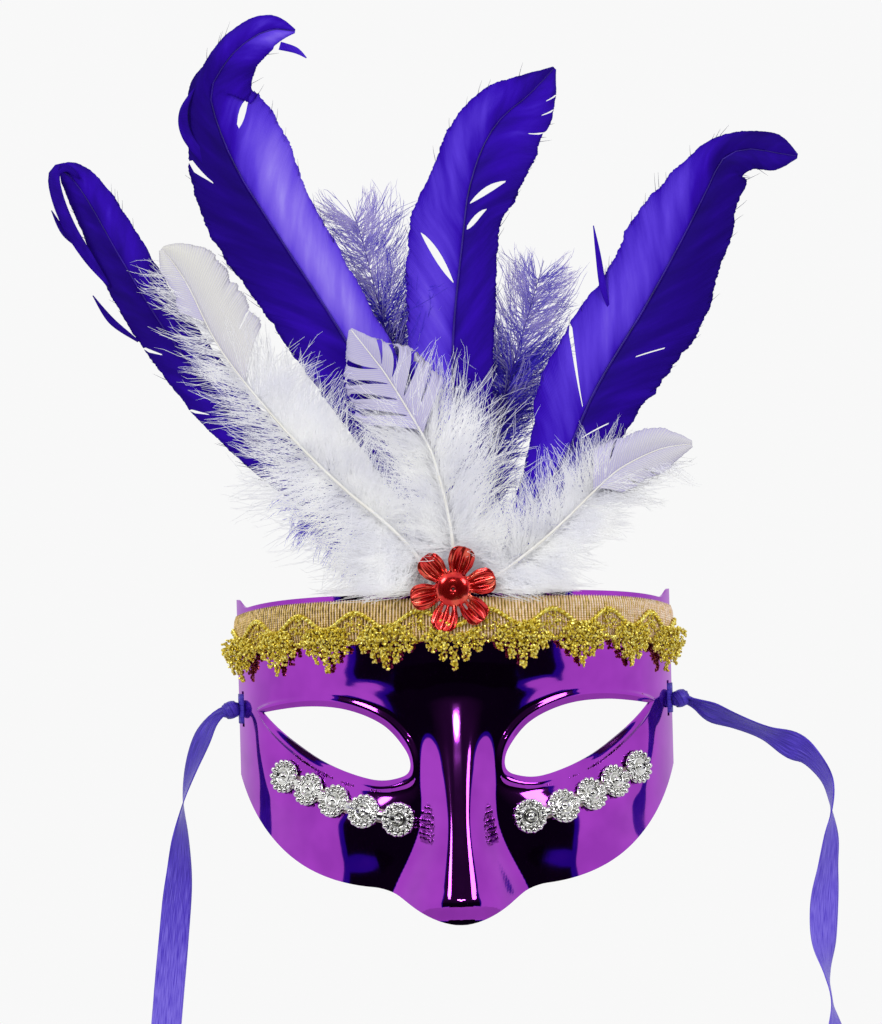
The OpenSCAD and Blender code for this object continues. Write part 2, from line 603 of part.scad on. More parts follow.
// Each tail's route from its bar: across, back, up, then the turn of its width about the route
left_route = [
    [-9, 0, -1, 60], [-13, -1, -6, 60], [-17, -2, -14, 55], [-21, -3, -25, 65], [-24, -3, -37, 88],
    [-25.5, -2, -50, 120], [-26.5, -1, -64, 140], [-28, 0, -78, 160], [-30, 1, -96, 172], [-32, 1, -114, 180],
    [-34, 1, -134, 180], [-35, 1, -156, 176], [-35.5, 1, -180, 180], [-36, 1, -206, 184], [-36.5, 1, -232, 180],
    [-37, 1, -258, 176], [-37, 1, -280, 180], [-37, 1, -294, 180]
];
right_route = [
    [9, 0, -2, 40], [16, -1, -6, 35], [26, -2, -11, 30], [38, -2, -16, 40], [50, -2, -22, 60],
    [59, -2, -31, 75], [63, -1, -43, 88], [62.5, 0, -56, 110], [60.5, 1, -69, 140], [59, 2, -83, 160],
    [58.5, 2, -97, 150], [59.5, 2, -110, 110], [61, 2, -122, 95], [62.5, 2, -136, 130], [63.5, 2, -154, 170],
    [64, 2, -176, 180], [64, 2, -200, 184], [64, 2, -226, 180], [64, 2, -246, 180]
];
TAIL_N = 54;
function tail_ring(route, f) =
    let (q = curve_part(route, f), e = 0.003)
    let (d = curve_part(route, min(1, f + e)) - curve_part(route, max(0, f - e)))
    let (tan = unit([d[0], d[1], d[2]]), a = unit([-tan[2], 0, tan[0]]), b = cross(tan, a))
    let (w = a * cos(q[3]) + b * sin(q[3]), n = cross(tan, w), c = [q[0], q[1], q[2]])
    [for (k = [[-1, -1], [1, -1], [1, 1], [-1, 1]]) c + k[0] * w * ribbon_w / 2 + k[1] * n * ribbon_t / 2];
module ribbon_tail(side, route) {
    color("slateblue")
    translate([side * bar_point[0], bar_point[1], slot_z])
        skin([for (f = steps(0, 1, TAIL_N)) tail_ring(route, f)]);
}
module left_ribbon_loop() { ribbon_loop(LEFT); }
module left_ribbon_knot() { ribbon_knot(LEFT); }
module left_ribbon_tail() { ribbon_tail(LEFT, left_route); }
module right_ribbon_loop() { ribbon_loop(RIGHT); }
module right_ribbon_knot() { ribbon_knot(RIGHT); }
module right_ribbon_tail() { ribbon_tail(RIGHT, right_route); }

mask_shell();
braid_glue();
braid_band();
braid_cord();
braid_fringe();
flower_glue();
foil_flower();
left_rosette_glue();
left_rosette_strip();
right_rosette_glue();
right_rosette_strip();
quill_glue();
quill_patch();
purple_feather_far_left();
purple_feather_left();
purple_feather_centre();
purple_feather_right();
white_feather_left();
white_feather_centre();
white_feather_right();
lilac_down_left();
lilac_down_right();
left_ribbon_loop();
left_ribbon_knot();
left_ribbon_tail();
right_ribbon_loop();
right_ribbon_knot();
right_ribbon_tail();
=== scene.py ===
# %% [markdown]
# # A Venetian half mask with a feather fan
# The solids give the mask its sizes: a thin formed shell, a braid, a flower, two rosette strips,
# nine feathers and two tie ribbons. This lesson dresses them one piece at a time. Every size below is
# in millimetres, as a maker would note it, and becomes metres where a point is placed.

# %% Load the solids and start the notebook
import bisect
import math
import random

import bmesh
import bpy
from mathutils import Matrix, Vector


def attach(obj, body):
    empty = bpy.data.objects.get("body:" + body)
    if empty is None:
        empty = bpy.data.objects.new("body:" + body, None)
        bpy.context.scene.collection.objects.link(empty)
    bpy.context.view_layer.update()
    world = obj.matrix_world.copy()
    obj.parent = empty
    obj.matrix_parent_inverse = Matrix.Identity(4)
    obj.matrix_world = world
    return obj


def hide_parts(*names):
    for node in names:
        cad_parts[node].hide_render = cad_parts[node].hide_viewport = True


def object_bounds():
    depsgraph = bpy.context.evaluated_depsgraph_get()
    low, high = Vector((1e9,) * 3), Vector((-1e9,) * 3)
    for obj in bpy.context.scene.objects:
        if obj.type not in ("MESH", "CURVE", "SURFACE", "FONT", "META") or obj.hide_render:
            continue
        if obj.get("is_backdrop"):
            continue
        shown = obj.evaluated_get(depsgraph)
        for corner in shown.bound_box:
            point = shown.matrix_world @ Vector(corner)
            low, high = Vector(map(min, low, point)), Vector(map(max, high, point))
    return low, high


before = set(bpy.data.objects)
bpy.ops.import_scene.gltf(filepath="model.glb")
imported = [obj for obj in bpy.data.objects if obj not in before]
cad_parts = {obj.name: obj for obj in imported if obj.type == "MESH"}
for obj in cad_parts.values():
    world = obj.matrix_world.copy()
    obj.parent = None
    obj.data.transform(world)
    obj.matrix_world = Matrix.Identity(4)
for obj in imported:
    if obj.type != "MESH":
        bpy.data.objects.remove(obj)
cad_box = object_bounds()
scene = bpy.context.scene
scene.view_settings.view_transform = "Standard"
MM = 0.001

# %% [markdown]
# ## The camera
# The mask was photographed from straight ahead with a long lens, and it leans a degree and a half.
# A far camera with a narrow view keeps the nose from growing, and turning the camera about its own
# line of sight leans the picture while the mask stays upright in its frame.

# %% Place the camera
camera = bpy.data.objects.new("camera", bpy.data.cameras.new("camera"))
camera.data.lens = 139.2
camera.data.sensor_width = 36
look_ahead = Matrix.Rotation(math.radians(90), 4, "X")
lean = Matrix.Rotation(math.radians(-1.5), 4, "Z")
camera.matrix_world = Matrix.Translation((-0.0038, -1.5, 0.0896)) @ look_ahead @ lean
scene.collection.objects.link(camera)
scene.camera = camera
print("camera", [round(v, 3) for v in camera.matrix_world.translation])

# %% [markdown]
# ## Lines through chosen points
# Ribbons and feathers both follow a line through a few listed stations. A spline that passes
# through every station keeps them easy to adjust, and reading it by length keeps patterns even.
# A station may carry more than a place: a turn for a ribbon, or two vane widths for a feather.


# %% A smooth route read by its length
class Route:
    """A smooth line through stations, read by the length along it in millimetres."""

    fine = 24

    def __init__(self, stations):
        self.stations = [Vector(s) for s in stations]
        places = [self.through(i / self.fine) for i in range(self.fine * (len(stations) - 1) + 1)]
        self.marks = [0.0]
        for a, b in zip(places, places[1:]):
            self.marks.append(self.marks[-1] + (Vector(b[:3]) - Vector(a[:3])).length)
        self.length = self.marks[-1]

    def through(self, k):
        last = len(self.stations) - 1
        i = min(int(k), last - 1)
        t = k - i
        a, b, c, d = (self.stations[max(0, min(last, i + n))] for n in (-1, 0, 1, 2))
        square, cube = a * 2 - b * 5 + c * 4 - d, b * 3 - a - c * 3 + d
        return (b * 2 + (c - a) * t + square * t**2 + cube * t**3) * 0.5

    def at(self, mm):
        mm = max(0.0, min(self.length - 1e-6, mm))
        i = min(bisect.bisect_right(self.marks, mm) - 1, len(self.marks) - 2)
        share = (mm - self.marks[i]) / max(1e-9, self.marks[i + 1] - self.marks[i])
        return self.through((i + share) / self.fine)

    def place(self, mm):
        return Vector(self.at(mm)[:3])

    def heading(self, mm):
        return (self.place(mm + 0.5) - self.place(mm - 0.5)).normalized()


# %% [markdown]
# ## Colours and materials
# Colours are written as the hex codes that a picture editor shows, and one function turns them into
# the linear light that the renderer works in. One more function adds a node, sets its options and
# links or fills its sockets, so that each material below reads as a short list.


# %% Colour and node helpers
def colour(code):
    """Linear light of a hex colour."""
    parts = [int(code[i:i + 2], 16) / 255 for i in (0, 2, 4)]
    return [p / 12.92 if p <= 0.04045 else ((p + 0.055) / 1.055) ** 2.4 for p in parts] + [1.0]


def fill(node, inputs):
    """Set sockets of a node, or link those that are given another node's socket."""
    for name, value in inputs.items():
        if isinstance(value, bpy.types.NodeSocket):
            node.id_data.links.new(value, node.inputs[name])
        else:
            node.inputs[name].default_value = value


def add_node(tree, kind, inputs=None, stops=(), **options):
    """A new node with its options and sockets set, and any colour stops as (place, hex code)."""
    node = tree.nodes.new(kind)
    for name, value in options.items():
        setattr(node, name, value)
    if stops:
        elements = node.color_ramp.elements
        while len(elements) < len(stops):
            elements.new(0.5)
        for element, (place, code) in zip(elements, stops):
            element.position, element.color = place, colour(code)
    fill(node, inputs or {})
    return node


def start_material(name):
    """An empty material with its node tree and shader."""
    material = bpy.data.materials.new(name)
    material.use_nodes = True
    return material, material.node_tree, material.node_tree.nodes["Principled BSDF"]


def bands(mm):
    """Scale of a wave that repeats at this spacing over a map in millimetres."""
    return math.pi / 10 / mm


# %% [markdown]
# ## Sheets and strands
# Most of this mask is made from flat stock: ribbon, foil, braid and feather vanes. A grid stands for the
# flat piece, a rule carries each of its corners to where it ends up, and the UV map keeps the flat
# sizes so that a weave follows the bends. Hair-thin pieces start as curves with a round section,
# because Blender then makes the tubes and their caps.


# %% Helpers that form sheets, strands and pieces
def formed_sheet(bm, across, along, place, flat=(1.0, 1.0)):
    """A flat grid carried to place(u, v), with its flat size in mm kept as its UV map."""
    uv = bm.loops.layers.uv.get("UVMap") or bm.loops.layers.uv.new("UVMap")
    corners = bmesh.ops.create_grid(bm, x_segments=across, y_segments=along, size=0.5)["verts"]
    faces = list({face for corner in corners for face in corner.link_faces})
    for face in faces:
        face.smooth = True
        for loop in face.loops:
            loop[uv].uv = ((loop.vert.co.x + 0.5) * flat[0], (loop.vert.co.y + 0.5) * flat[1])
    for corner in corners:
        corner.co = place(corner.co.x + 0.5, corner.co.y + 0.5) * MM
    return faces


def thicken(bm, faces, wall, front=0):
    """Give a sheet its wall in mm. With front at -1 or 1, its faces first turn to -Y or +Y."""
    bmesh.ops.recalc_face_normals(bm, faces=faces)
    if front * sum(face.normal.y for face in faces) < 0:
        bmesh.ops.reverse_faces(bm, faces=faces)
    bmesh.ops.solidify(bm, geom=faces, thickness=wall * MM)


def strands(bm, runs, material=0, roundness=0):
    """Round strands through lists of (place, radius) in millimetres."""
    line = bpy.data.curves.new("strands", "CURVE")
    line.dimensions = "3D"
    line.bevel_depth = MM
    line.bevel_resolution = roundness
    line.use_fill_caps = True
    for run in runs:
        spline = line.splines.new("POLY")
        spline.points.add(len(run) - 1)
        spline.points.foreach_set("co", [v for p, r in run for v in (p.x * MM, p.y * MM, p.z * MM, 1.0)])
        spline.points.foreach_set("radius", [r for p, r in run])
    carrier = bpy.data.objects.new("strands", line)
    mesh = bpy.data.meshes.new_from_object(carrier)
    before = len(bm.faces)
    bm.from_mesh(mesh)
    bm.faces.ensure_lookup_table()
    for face in bm.faces[before:]:
        face.material_index = material
        face.smooth = True
    bpy.data.objects.remove(carrier)
    bpy.data.curves.remove(line)
    bpy.data.meshes.remove(mesh)


def finish_piece(name, bm, materials, nodes, body="mask"):
    """Turn a bmesh into a piece that rides a body and stands for its solids."""
    mesh = bpy.data.meshes.new(name)
    bm.to_mesh(mesh)
    bm.free()
    for material in materials:
        mesh.materials.append(material)
    piece = bpy.data.objects.new(name, mesh)
    scene.collection.objects.link(piece)
    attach(piece, body)
    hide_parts(*nodes)
    print(name, len(mesh.polygons), "faces")
    return piece


# %% [markdown]
# ## The face surface
# The shell is drawn over a mould. Its sheet is described flat, by the distance s along the brow's curve
# and the height z, and one rule gives the mould's height over a plain cylinder there: a nose, two eye
# sockets, a brow and two cheeks. Everything that lies on the mask uses the same rule, so trim and
# shell always meet.

# %% The mould's shape
SHELL_R, HALF_ARC, WALL = 90.0, 113.0, 0.9
FOREHEAD_Z, TIP_Z = 59.0, -65.5
NOSE_TOP, NOSE_H, NOSE_HALF, RIDGE_HALF = 25.8, 24.0, 16.0, 1.5
FLARE_Z, FLARE, TIP_ROUND, TIP_FALL = -24.0, 14.0, 9.0, 5.0
# sockets, brow and cheeks: height, across, up, half width, half height
SWELLS = [(-6, 50, 0, 46, 30), (3, 0, 38, 60, 20), (2.5, 45, -30, 40, 24)]


def smooth(a, b, x):
    """An even step from 0 at a to 1 at b."""
    t = max(0.0, min(1.0, (x - a) / (b - a)))
    return t * t * (3 - 2 * t)


def bell(u, v):
    """A round swelling: 1 in its middle, 0 from a distance of 1."""
    q = u * u + v * v
    return (1 - q) ** 2 if q < 1 else 0.0


def relief(s, z):
    """Height of the mould over its cylinder: the nose and then the swellings."""
    s = abs(s)
    rise = max(0.0, min(1.0, (NOSE_TOP - z) / (NOSE_TOP - TIP_Z)))
    nose = NOSE_H * rise**1.3 - TIP_FALL * smooth(TIP_Z + TIP_ROUND, TIP_Z, z)
    half = NOSE_HALF + FLARE * smooth(FLARE_Z, TIP_Z, z)
    shape = nose * (1 - smooth(RIDGE_HALF, half, s))
    for height, across, up, half_width, half_height in SWELLS:
        shape += height * bell((s - across) / half_width, (z - up) / half_height)
    return shape


SEAT_Y = relief(0, 0) - WALL


def face_point(s, z):
    """The place on the outside of the shell, in millimetres."""
    r = SHELL_R + relief(s, z)
    return Vector((r * math.sin(s / SHELL_R), SEAT_Y + SHELL_R - r * math.cos(s / SHELL_R), z))


def face_normal(s, z):
    along = face_point(s + 0.2, z) - face_point(s - 0.2, z)
    return along.cross(face_point(s, z + 0.2) - face_point(s, z - 0.2)).normalized()


def on_face(s, z, h):
    """The place at height h over the outside of the shell, in millimetres."""
    return face_point(s, z) + face_normal(s, z) * h


BAR_S, BAR_Z = 111.0, 14.0
BAR = on_face(BAR_S, BAR_Z, -WALL / 2)
print("ribbon bar at", [round(v, 2) for v in BAR])

# %% [markdown]
# ## Satin ribbon
# The ties are 12 mm polyester satin. Satin floats its threads along one way, so it has a soft streaked
# shine along its length and a slight grain across. A noise over the UV map, stretched along the ribbon,
# paints that shine into the colour as painted sheen in streaks, a fine wave gives the grain its bump, and a
# sheen catches light at grazing edges. The colour also carries painted shade by the knot and painted light
# lower down.
# The photograph shows it dark by the knot and paler lower down, where it hangs flat to the light.

# %% Satin material
# Painted sheen streaks are a third of a millimetre wide and 8 mm long. The threads, about a tenth of a
# millimetre, are too fine to show, so their grain is drawn three times as coarse.
satin, tree, shader = start_material("purple_satin_weave")
flat = add_node(tree, "ShaderNodeUVMap", uv_map="UVMap").outputs["UV"]
stretch = add_node(tree, "ShaderNodeMapping", {"Vector": flat, "Scale": (3.0, 0.12, 1.0)})
# Painted sheen: a noise stretched along the ribbon lightens and darkens its colour in streaks.
painted_sheen_streak = add_node(tree, "ShaderNodeTexNoise",
                  {"Vector": stretch.outputs["Vector"], "Scale": 1.0, "Detail": 3.0})
# Painted shade and light: the colour is darker by the knot and paler lower down.
ways = add_node(tree, "ShaderNodeSeparateXYZ", {"Vector": flat})
fall = add_node(tree, "ShaderNodeMapRange", {"Value": ways.outputs["Y"], "From Min": 30.0,
                                             "From Max": 120.0, "To Min": -0.16, "To Max": 0.16})
shine = add_node(tree, "ShaderNodeMath", {0: painted_sheen_streak.outputs["Fac"], 1: fall.outputs["Result"]},
                 operation="ADD")
dye = add_node(tree, "ShaderNodeValToRGB", {"Fac": shine.outputs["Value"]},
               [(0.25, "3620a0"), (0.5, "5740d0"), (0.75, "8674ee")])
weave = add_node(tree, "ShaderNodeTexWave", {"Vector": flat, "Scale": bands(0.2856), "Distortion": 0.4})
bump = add_node(tree, "ShaderNodeBump",
                {"Height": weave.outputs["Fac"], "Strength": 0.12, "Distance": 0.0001})
fill(shader, {"Base Color": dye.outputs["Color"], "Normal": bump.outputs["Normal"], "Roughness": 0.38,
              "Specular IOR Level": 0.3, "Anisotropic": 0.5, "Sheen Weight": 0.12,
              "Sheen Tint": colour("8a7cf0")})
print("material", satin.name)

# %% [markdown]
# ## The tie ribbons
# Each ribbon goes through its slot, is knotted round the bar and hangs. The photograph shows the left
# one dropping with half a twist and the right one standing out before it falls in two turns. A strip
# follows the route, its width turning with the fourth number of each station, and it is gathered where
# it leaves the knot. The ends are out of the picture and are plain cut ends.

# %% Routes of the two tails, from the bar: across, back, up, turn of the width
RIBBON_W, RIBBON_T = 12.0, 0.35
left_route = Route([
    (-4.5, 0, 0, 60), (-9, 0, -2, 60), (-13, -1, -6, 60), (-17, -2, -14, 55), (-21, -3, -25, 65),
    (-24, -3, -37, 88), (-25.5, -2, -50, 120), (-26.5, -1, -64, 140), (-28, 0, -78, 160), (-30, 1, -96, 172),
    (-32, 1, -114, 180), (-34, 1, -134, 180), (-35, 1, -156, 176), (-35.5, 1, -180, 180), (-36, 1, -206, 184),
    (-36.5, 1, -232, 180), (-37, 1, -258, 176), (-37, 1, -280, 180), (-37, 1, -294, 180)])
right_route = Route([
    (4.5, 0, 0, 62), (9, 0, -2, 62), (16, -1, -6, 50), (26, -2, -10, 60), (38, -2, -15, 58),
    (48, -2, -20, 28), (55, -2, -25, 55), (61, -1, -34, 70), (62.5, 0, -45, 90), (62, 0, -57, 125),
    (60.5, 1, -69, 140),
    (59, 2, -83, 160), (58.5, 2, -97, 150), (59.5, 2, -110, 110), (61, 2, -122, 95), (62.5, 2, -136, 130),
    (63.5, 2, -154, 170), (64, 2, -176, 180), (64, 2, -200, 184), (64, 2, -226, 180), (64, 2, -246, 180)])
print("tails", round(left_route.length), round(right_route.length), "mm")


# %% Form a tail along its route
GATHER = 16.0
SIDE = {-1: "left", 1: "right"}


def ribbon_place(route, start):
    """The rule that lays a flat ribbon along a route, gathered into pleats at the knot."""
    def place(u, v):
        mm = v * route.length
        q, ahead = route.at(mm), route.heading(mm)
        level = Vector((-ahead.z, 0, ahead.x)).normalized()
        turn = math.radians(q[3])
        width_way = level * math.cos(turn) + ahead.cross(level) * math.sin(turn)
        face_way = ahead.cross(width_way)
        loose = smooth(0, GATHER, mm)
        width = RIBBON_W * (0.5 + 0.5 * loose)
        pleat = 0.9 * (1 - loose) * math.sin(5 * math.pi * u)
        curl = 0.5 * math.sin(mm / 23) * (4 * (u - 0.5) ** 2 - 0.3) + 0.25 * math.sin(mm / 7 + 3 * u)
        return start + Vector(q[:3]) + width_way * (u - 0.5) * width + face_way * (pleat + curl * loose)
    return place


def bar_at(side):
    return Vector((side * BAR.x, BAR.y, BAR_Z))


def ribbon_tail(side, route):
    """A tail, and the points in metres that it follows."""
    start, word = bar_at(side), SIDE[side]
    bm = bmesh.new()
    faces = formed_sheet(bm, 10, 150, ribbon_place(route, start), (RIBBON_W, route.length))
    thicken(bm, faces, RIBBON_T)
    piece = finish_piece(word + "_tail", bm, [satin], [word + "_ribbon_tail"],
                         word + "_ribbon")
    path = [(start + route.place(route.length * i / 60)) * MM for i in range(61)]
    return piece, path


tails = {-1: ribbon_tail(-1, left_route), 1: ribbon_tail(1, right_route)}

# %% [markdown]
# ## The knots
# Behind each slot the ribbon wraps the bar and is drawn into a small overhand knot. A hoop of ribbon
# round the bar and three tight wraps at different tilts, each bellied across its width, read as a knot
# and cost little. The wraps are the same rule with a different tilt, so one loop makes them.


def wrap(bm, centre, radius, width, tilt, belly):
    """A band of ribbon bent round a circle about the vertical, then tilted."""
    def place(u, v):
        angle = 2 * math.pi * v
        r = radius + belly * (1 - (2 * u - 1) ** 2)
        return centre + tilt @ Vector((r * math.cos(angle), r * math.sin(angle), (u - 0.5) * width))
    formed_sheet(bm, 6, 28, place, (width, 2 * math.pi * radius))


def ribbon_knot(side):
    """A hoop round the bar, flattened to go through the slot, and three wraps beside it."""
    bar, word = bar_at(side), SIDE[side]
    middle = bar + Vector((side * 4.3, 0, -0.4))
    bm = bmesh.new()
    along_bar = Matrix.Rotation(side * BAR_S / SHELL_R, 3, "Z") @ Matrix.Diagonal((1, 0.42, 1))
    wrap(bm, bar, 2.7, 11.6, along_bar, 0.1)
    for turn, across, r, width in [(80, 12, 2.3, 6.6), (58, -28, 2.6, 5.6), (102, 38, 2.2, 6.2)]:
        tilt = Matrix.Rotation(math.radians(across), 3, "X") @ Matrix.Rotation(math.radians(turn), 3, "Y")
        wrap(bm, middle, r, width, tilt, 0.9)
    bmesh.ops.remove_doubles(bm, verts=bm.verts, dist=1e-6)
    thicken(bm, bm.faces[:], RIBBON_T)
    nodes = [word + "_ribbon_loop", word + "_ribbon_knot"]
    return finish_piece(word + "_knot", bm, [satin], nodes, word + "_ribbon")


for side, (tail, path) in tails.items():
    knot = ribbon_knot(side)

# %% [markdown]
# ## Metallised purple plastic
# The shell is thin plastic drawn over a mould and plated in a vacuum, so its front is a purple mirror
# and its back is bare satin plastic. A metal shader with a very low roughness gives the mirror. A faint,
# wide bump keeps its reflections from looking machined, because a drawn sheet is never quite even.

# %% Front and back of the shell
def clouded(tree, mm, detail, stops):
    """A colour that drifts over the object in patches of about this size, and the drift, 0 to 1."""
    spot = add_node(tree, "ShaderNodeTexCoord")
    cloud = add_node(tree, "ShaderNodeTexNoise",
                     {"Vector": spot.outputs["Object"], "Scale": 1 / (mm * MM), "Detail": detail})
    ramp = add_node(tree, "ShaderNodeValToRGB", {"Fac": cloud.outputs["Fac"]}, stops)
    return ramp.outputs["Color"], cloud.outputs["Fac"]


# A drawn sheet undulates over about 11 mm, and its plating varies over about 17 mm.
plated, tree, shader = start_material("purple_vacuum_plated_plastic")
hue, cloud = clouded(tree, 16.67, 2.0, [(0.35, "9838b6"), (0.65, "a640c4")])
spot = add_node(tree, "ShaderNodeTexCoord")
ripple = add_node(tree, "ShaderNodeTexNoise",
                  {"Vector": spot.outputs["Object"], "Scale": 1 / (11.11 * MM), "Detail": 1.0})
bump = add_node(tree, "ShaderNodeBump",
                {"Height": ripple.outputs["Fac"], "Strength": 0.03, "Distance": 0.002})
haze = add_node(tree, "ShaderNodeMapRange", {"Value": cloud, "To Min": 0.04, "To Max": 0.09})
fill(shader, {"Base Color": hue, "Normal": bump.outputs["Normal"], "Roughness": haze.outputs["Result"],
              "Metallic": 1.0})

# The bare side is satin, with a grain drawn at 3 mm so that it shows.
bare_back, tree, shader = start_material("bare_mauve_plastic_back")
hue, grain = clouded(tree, 3.333, 4.0, [(0.3, "6d4a80"), (0.7, "7d5a90")])
bump = add_node(tree, "ShaderNodeBump", {"Height": grain, "Strength": 0.15, "Distance": 0.0003})
fill(shader, {"Base Color": hue, "Normal": bump.outputs["Normal"], "Roughness": 0.45})
print("materials", plated.name, bare_back.name)

# %% [markdown]
# ## The shell's blank
# A former cuts a blank, presses it and trims it. Two circles bridged into a ring make that blank: the
# inner one becomes the eye and the outer one the edge of half the mask, from the nose line round by the
# horn, the temple and the cheek. Cutting the spokes between them gives rings that follow the eye.

# %% Outlines of an eye and of half the mask
EYE = Route([
    (89, 13.2, 0), (74.3, 2.84, 0), (56.8, -6.12, 0), (34.4, -12, 0), (22.5, -11.16, 0), (18.3, -7.52, 0),
    (20.4, -0.24, 0), (29.85, 9.28, 0), (45.95, 15.02, 0), (65.55, 16, 0), (89, 13.2, 0)])
EYE_RUNS = ((7, 10), (0, 4), (4, 7))
RUN_N, RING_N, LIP_N = 80, 46, 12
LIP_W, LIP_TOP, LIP_H = 5.2, 2.9, 1.2


def temple_line(s):
    return FOREHEAD_Z - 7 * (abs(s) / HALF_ARC) ** 3


def top_edge(s):
    return temple_line(s) + 5 * smooth(HALF_ARC - 14, HALF_ARC, s) ** 1.5


def low_edge(s):
    cheek = -53 + 41 * (max(0.0, s - 27) / (HALF_ARC - 27)) ** 2.1
    return cheek - 12.5 * (1 - smooth(0, 34, s))


def mix(a, b, t):
    return a + (b - a) * t


def eye_outline(run, t):
    """Edge of the eye in three runs between two stations each: upper lid, lower lid, inner end."""
    first, last = (EYE.marks[EYE.fine * station] for station in EYE_RUNS[run])
    return EYE.place(mix(first, last, t))


def mask_outline(run, t):
    """Half the mask's edge in three runs: brow and horn, cheek, nose line."""
    if run == 0:
        s = mix(0, HALF_ARC, min(1, t / 0.75))
        return Vector((s, top_edge(s) if t < 0.75 else mix(top_edge(s), 20, (t - 0.75) / 0.25), 0))
    if run == 1:
        s = mix(HALF_ARC, 0, max(0.0, (t - 0.2) / 0.8))
        return Vector((s, mix(20, -12, t / 0.2) if t < 0.2 else low_edge(s), 0))
    return Vector((0, mix(low_edge(0), top_edge(0), t), 0))


# %% [markdown]
# ## Punching and pressing the shell
# The two ribbon slots are punched while the blank is flat: four cuts through the cells round each slot,
# and the cells inside come out. Then each corner goes to the mould's surface at its flat place, and round
# the eye the sheet rolls up into a small lip. Pushing the sheet through its wall while it is flat gives
# an even wall after pressing. The half is then mirrored and welded along the nose line.


# %% Lay the blank flat and punch its slot
STEPS = 3 * RUN_N
SLOT = (106.5, 109.0, 7.0, 21.0)


def blank_place(corner):
    """Flat place of a corner of the ring-shaped blank, with its lip height as the third number."""
    turn = (math.atan2(corner.co.x, corner.co.y) % (2 * math.pi)) / (2 * math.pi)
    step = round(turn * STEPS) % STEPS
    run, t = step // RUN_N, step % RUN_N / RUN_N
    ring = round((corner.co.length - 1) * RING_N)
    eye, edge = eye_outline(run, t), mask_outline(run, t)
    reach = (edge - eye).length
    out = LIP_W * ring / LIP_N if ring <= LIP_N else mix(LIP_W, reach, (ring - LIP_N) / (RING_N - LIP_N))
    lip = LIP_H * (0.3 + 0.7 * smooth(-1, LIP_TOP, out)) * (1 - smooth(LIP_TOP, LIP_W, out))
    flat_place = eye.lerp(edge, out / reach)
    return Vector((flat_place.x, flat_place.y, lip))


bm = bmesh.new()
bmesh.ops.create_circle(bm, segments=STEPS, radius=1)
bmesh.ops.create_circle(bm, segments=STEPS, radius=2)
bmesh.ops.bridge_loops(bm, edges=bm.edges[:])
spokes = [e for e in bm.edges if abs(e.verts[0].co.length - e.verts[1].co.length) > 0.5]
bmesh.ops.subdivide_edges(bm, edges=spokes, cuts=RING_N - 1)
for corner in bm.verts:
    corner.co = blank_place(corner)
for k, value in enumerate(SLOT):
    way = Vector((1, 0, 0)) if k < 2 else Vector((0, 1, 0))
    middles = [(f, f.calc_center_median()) for f in bm.faces]
    near = [f for f, m in middles if abs(m.x - 108) < 9 and abs(m.y - BAR_Z) < 13]
    edges = list({e for f in near for e in f.edges})
    bmesh.ops.bisect_plane(bm, geom=near + edges, plane_co=way * value, plane_no=way, dist=0.01)
middles = [(f, f.calc_center_median()) for f in bm.faces]
slug = [f for f, m in middles if SLOT[0] < m.x < SLOT[1] and SLOT[2] < m.y < SLOT[3]]
bmesh.ops.delete(bm, geom=slug, context="FACES")
print("blank", len(bm.faces), "faces,", len(slug), "punched out")

# %% Thicken the blank, press it and mirror it
inner = bmesh.ops.extrude_face_region(bm, geom=bm.faces[:], use_keep_orig=True)["geom"]
bmesh.ops.translate(bm, verts=[g for g in inner if isinstance(g, bmesh.types.BMVert)], vec=(0, 0, -WALL))
nose_line = [f for f in bm.faces if all(abs(corner.co.x) < 1e-4 for corner in f.verts)]
bmesh.ops.delete(bm, geom=nose_line, context="FACES")
for corner in bm.verts:
    corner.co = on_face(*corner.co) * MM
bmesh.ops.mirror(bm, geom=bm.verts[:] + bm.edges[:] + bm.faces[:], axis="X", merge_dist=1e-6)
bmesh.ops.remove_doubles(bm, verts=bm.verts, dist=2e-6)
bmesh.ops.recalc_face_normals(bm, faces=bm.faces)

# %% Tell the mirror front from the bare back, and keep the trimmed edges crisp
for face in bm.faces:
    face.smooth = True
    middle = face.calc_center_median()
    s = math.atan2(middle.x, SHELL_R * MM + SEAT_Y * MM - middle.y)
    outward = Vector((math.sin(s), -math.cos(s), 0))
    face.material_index = 1 if face.normal.dot(outward) < -0.05 else 0
for edge in bm.edges:
    edge.smooth = edge.is_manifold and edge.calc_face_angle(0) < math.radians(40)
finish_piece("shell", bm, [plated, bare_back], ["mask_shell"])

# %% [markdown]
# ## Gold braid: the ribbed band
# The trim along the brow is furnishing braid: a ribbed header of dull pink and gold yarn, a waved gold
# cord sewn over it, and crocheted loops of glittering gold yarn that hang in lobes. The header's ribs run
# up and down, little over a millimetre apart, so the grid has five corners to a rib and its height does the
# ribbing. Its colours alternate with the ribs through the UV map.

# %% Header yarn material
# Ribs as the yarn lies, patches of 2 to 3 mm where pink and gold change over, and a twist of 0.9 mm.
RIB = 1.25
header_yarn, tree, shader = start_material("ribbed_pink_gold_yarn")
flat = add_node(tree, "ShaderNodeUVMap", uv_map="UVMap").outputs["UV"]
rib = add_node(tree, "ShaderNodeTexWave", {"Vector": flat, "Scale": bands(RIB), "Distortion": 0.0},
               bands_direction="Y")
patch = add_node(tree, "ShaderNodeMapping", {"Vector": flat, "Scale": (0.35, 0.5, 1.0)})
yarn = add_node(tree, "ShaderNodeTexNoise",
                {"Vector": patch.outputs["Vector"], "Scale": 1.2, "Detail": 3.0})
lift = add_node(tree, "ShaderNodeMath", {0: yarn.outputs["Fac"], 1: 1.1, 2: -0.4},
                operation="MULTIPLY_ADD")
mixed = add_node(tree, "ShaderNodeMath", {0: rib.outputs["Fac"], 1: 0.62, 2: lift.outputs["Value"]},
                 operation="MULTIPLY_ADD")
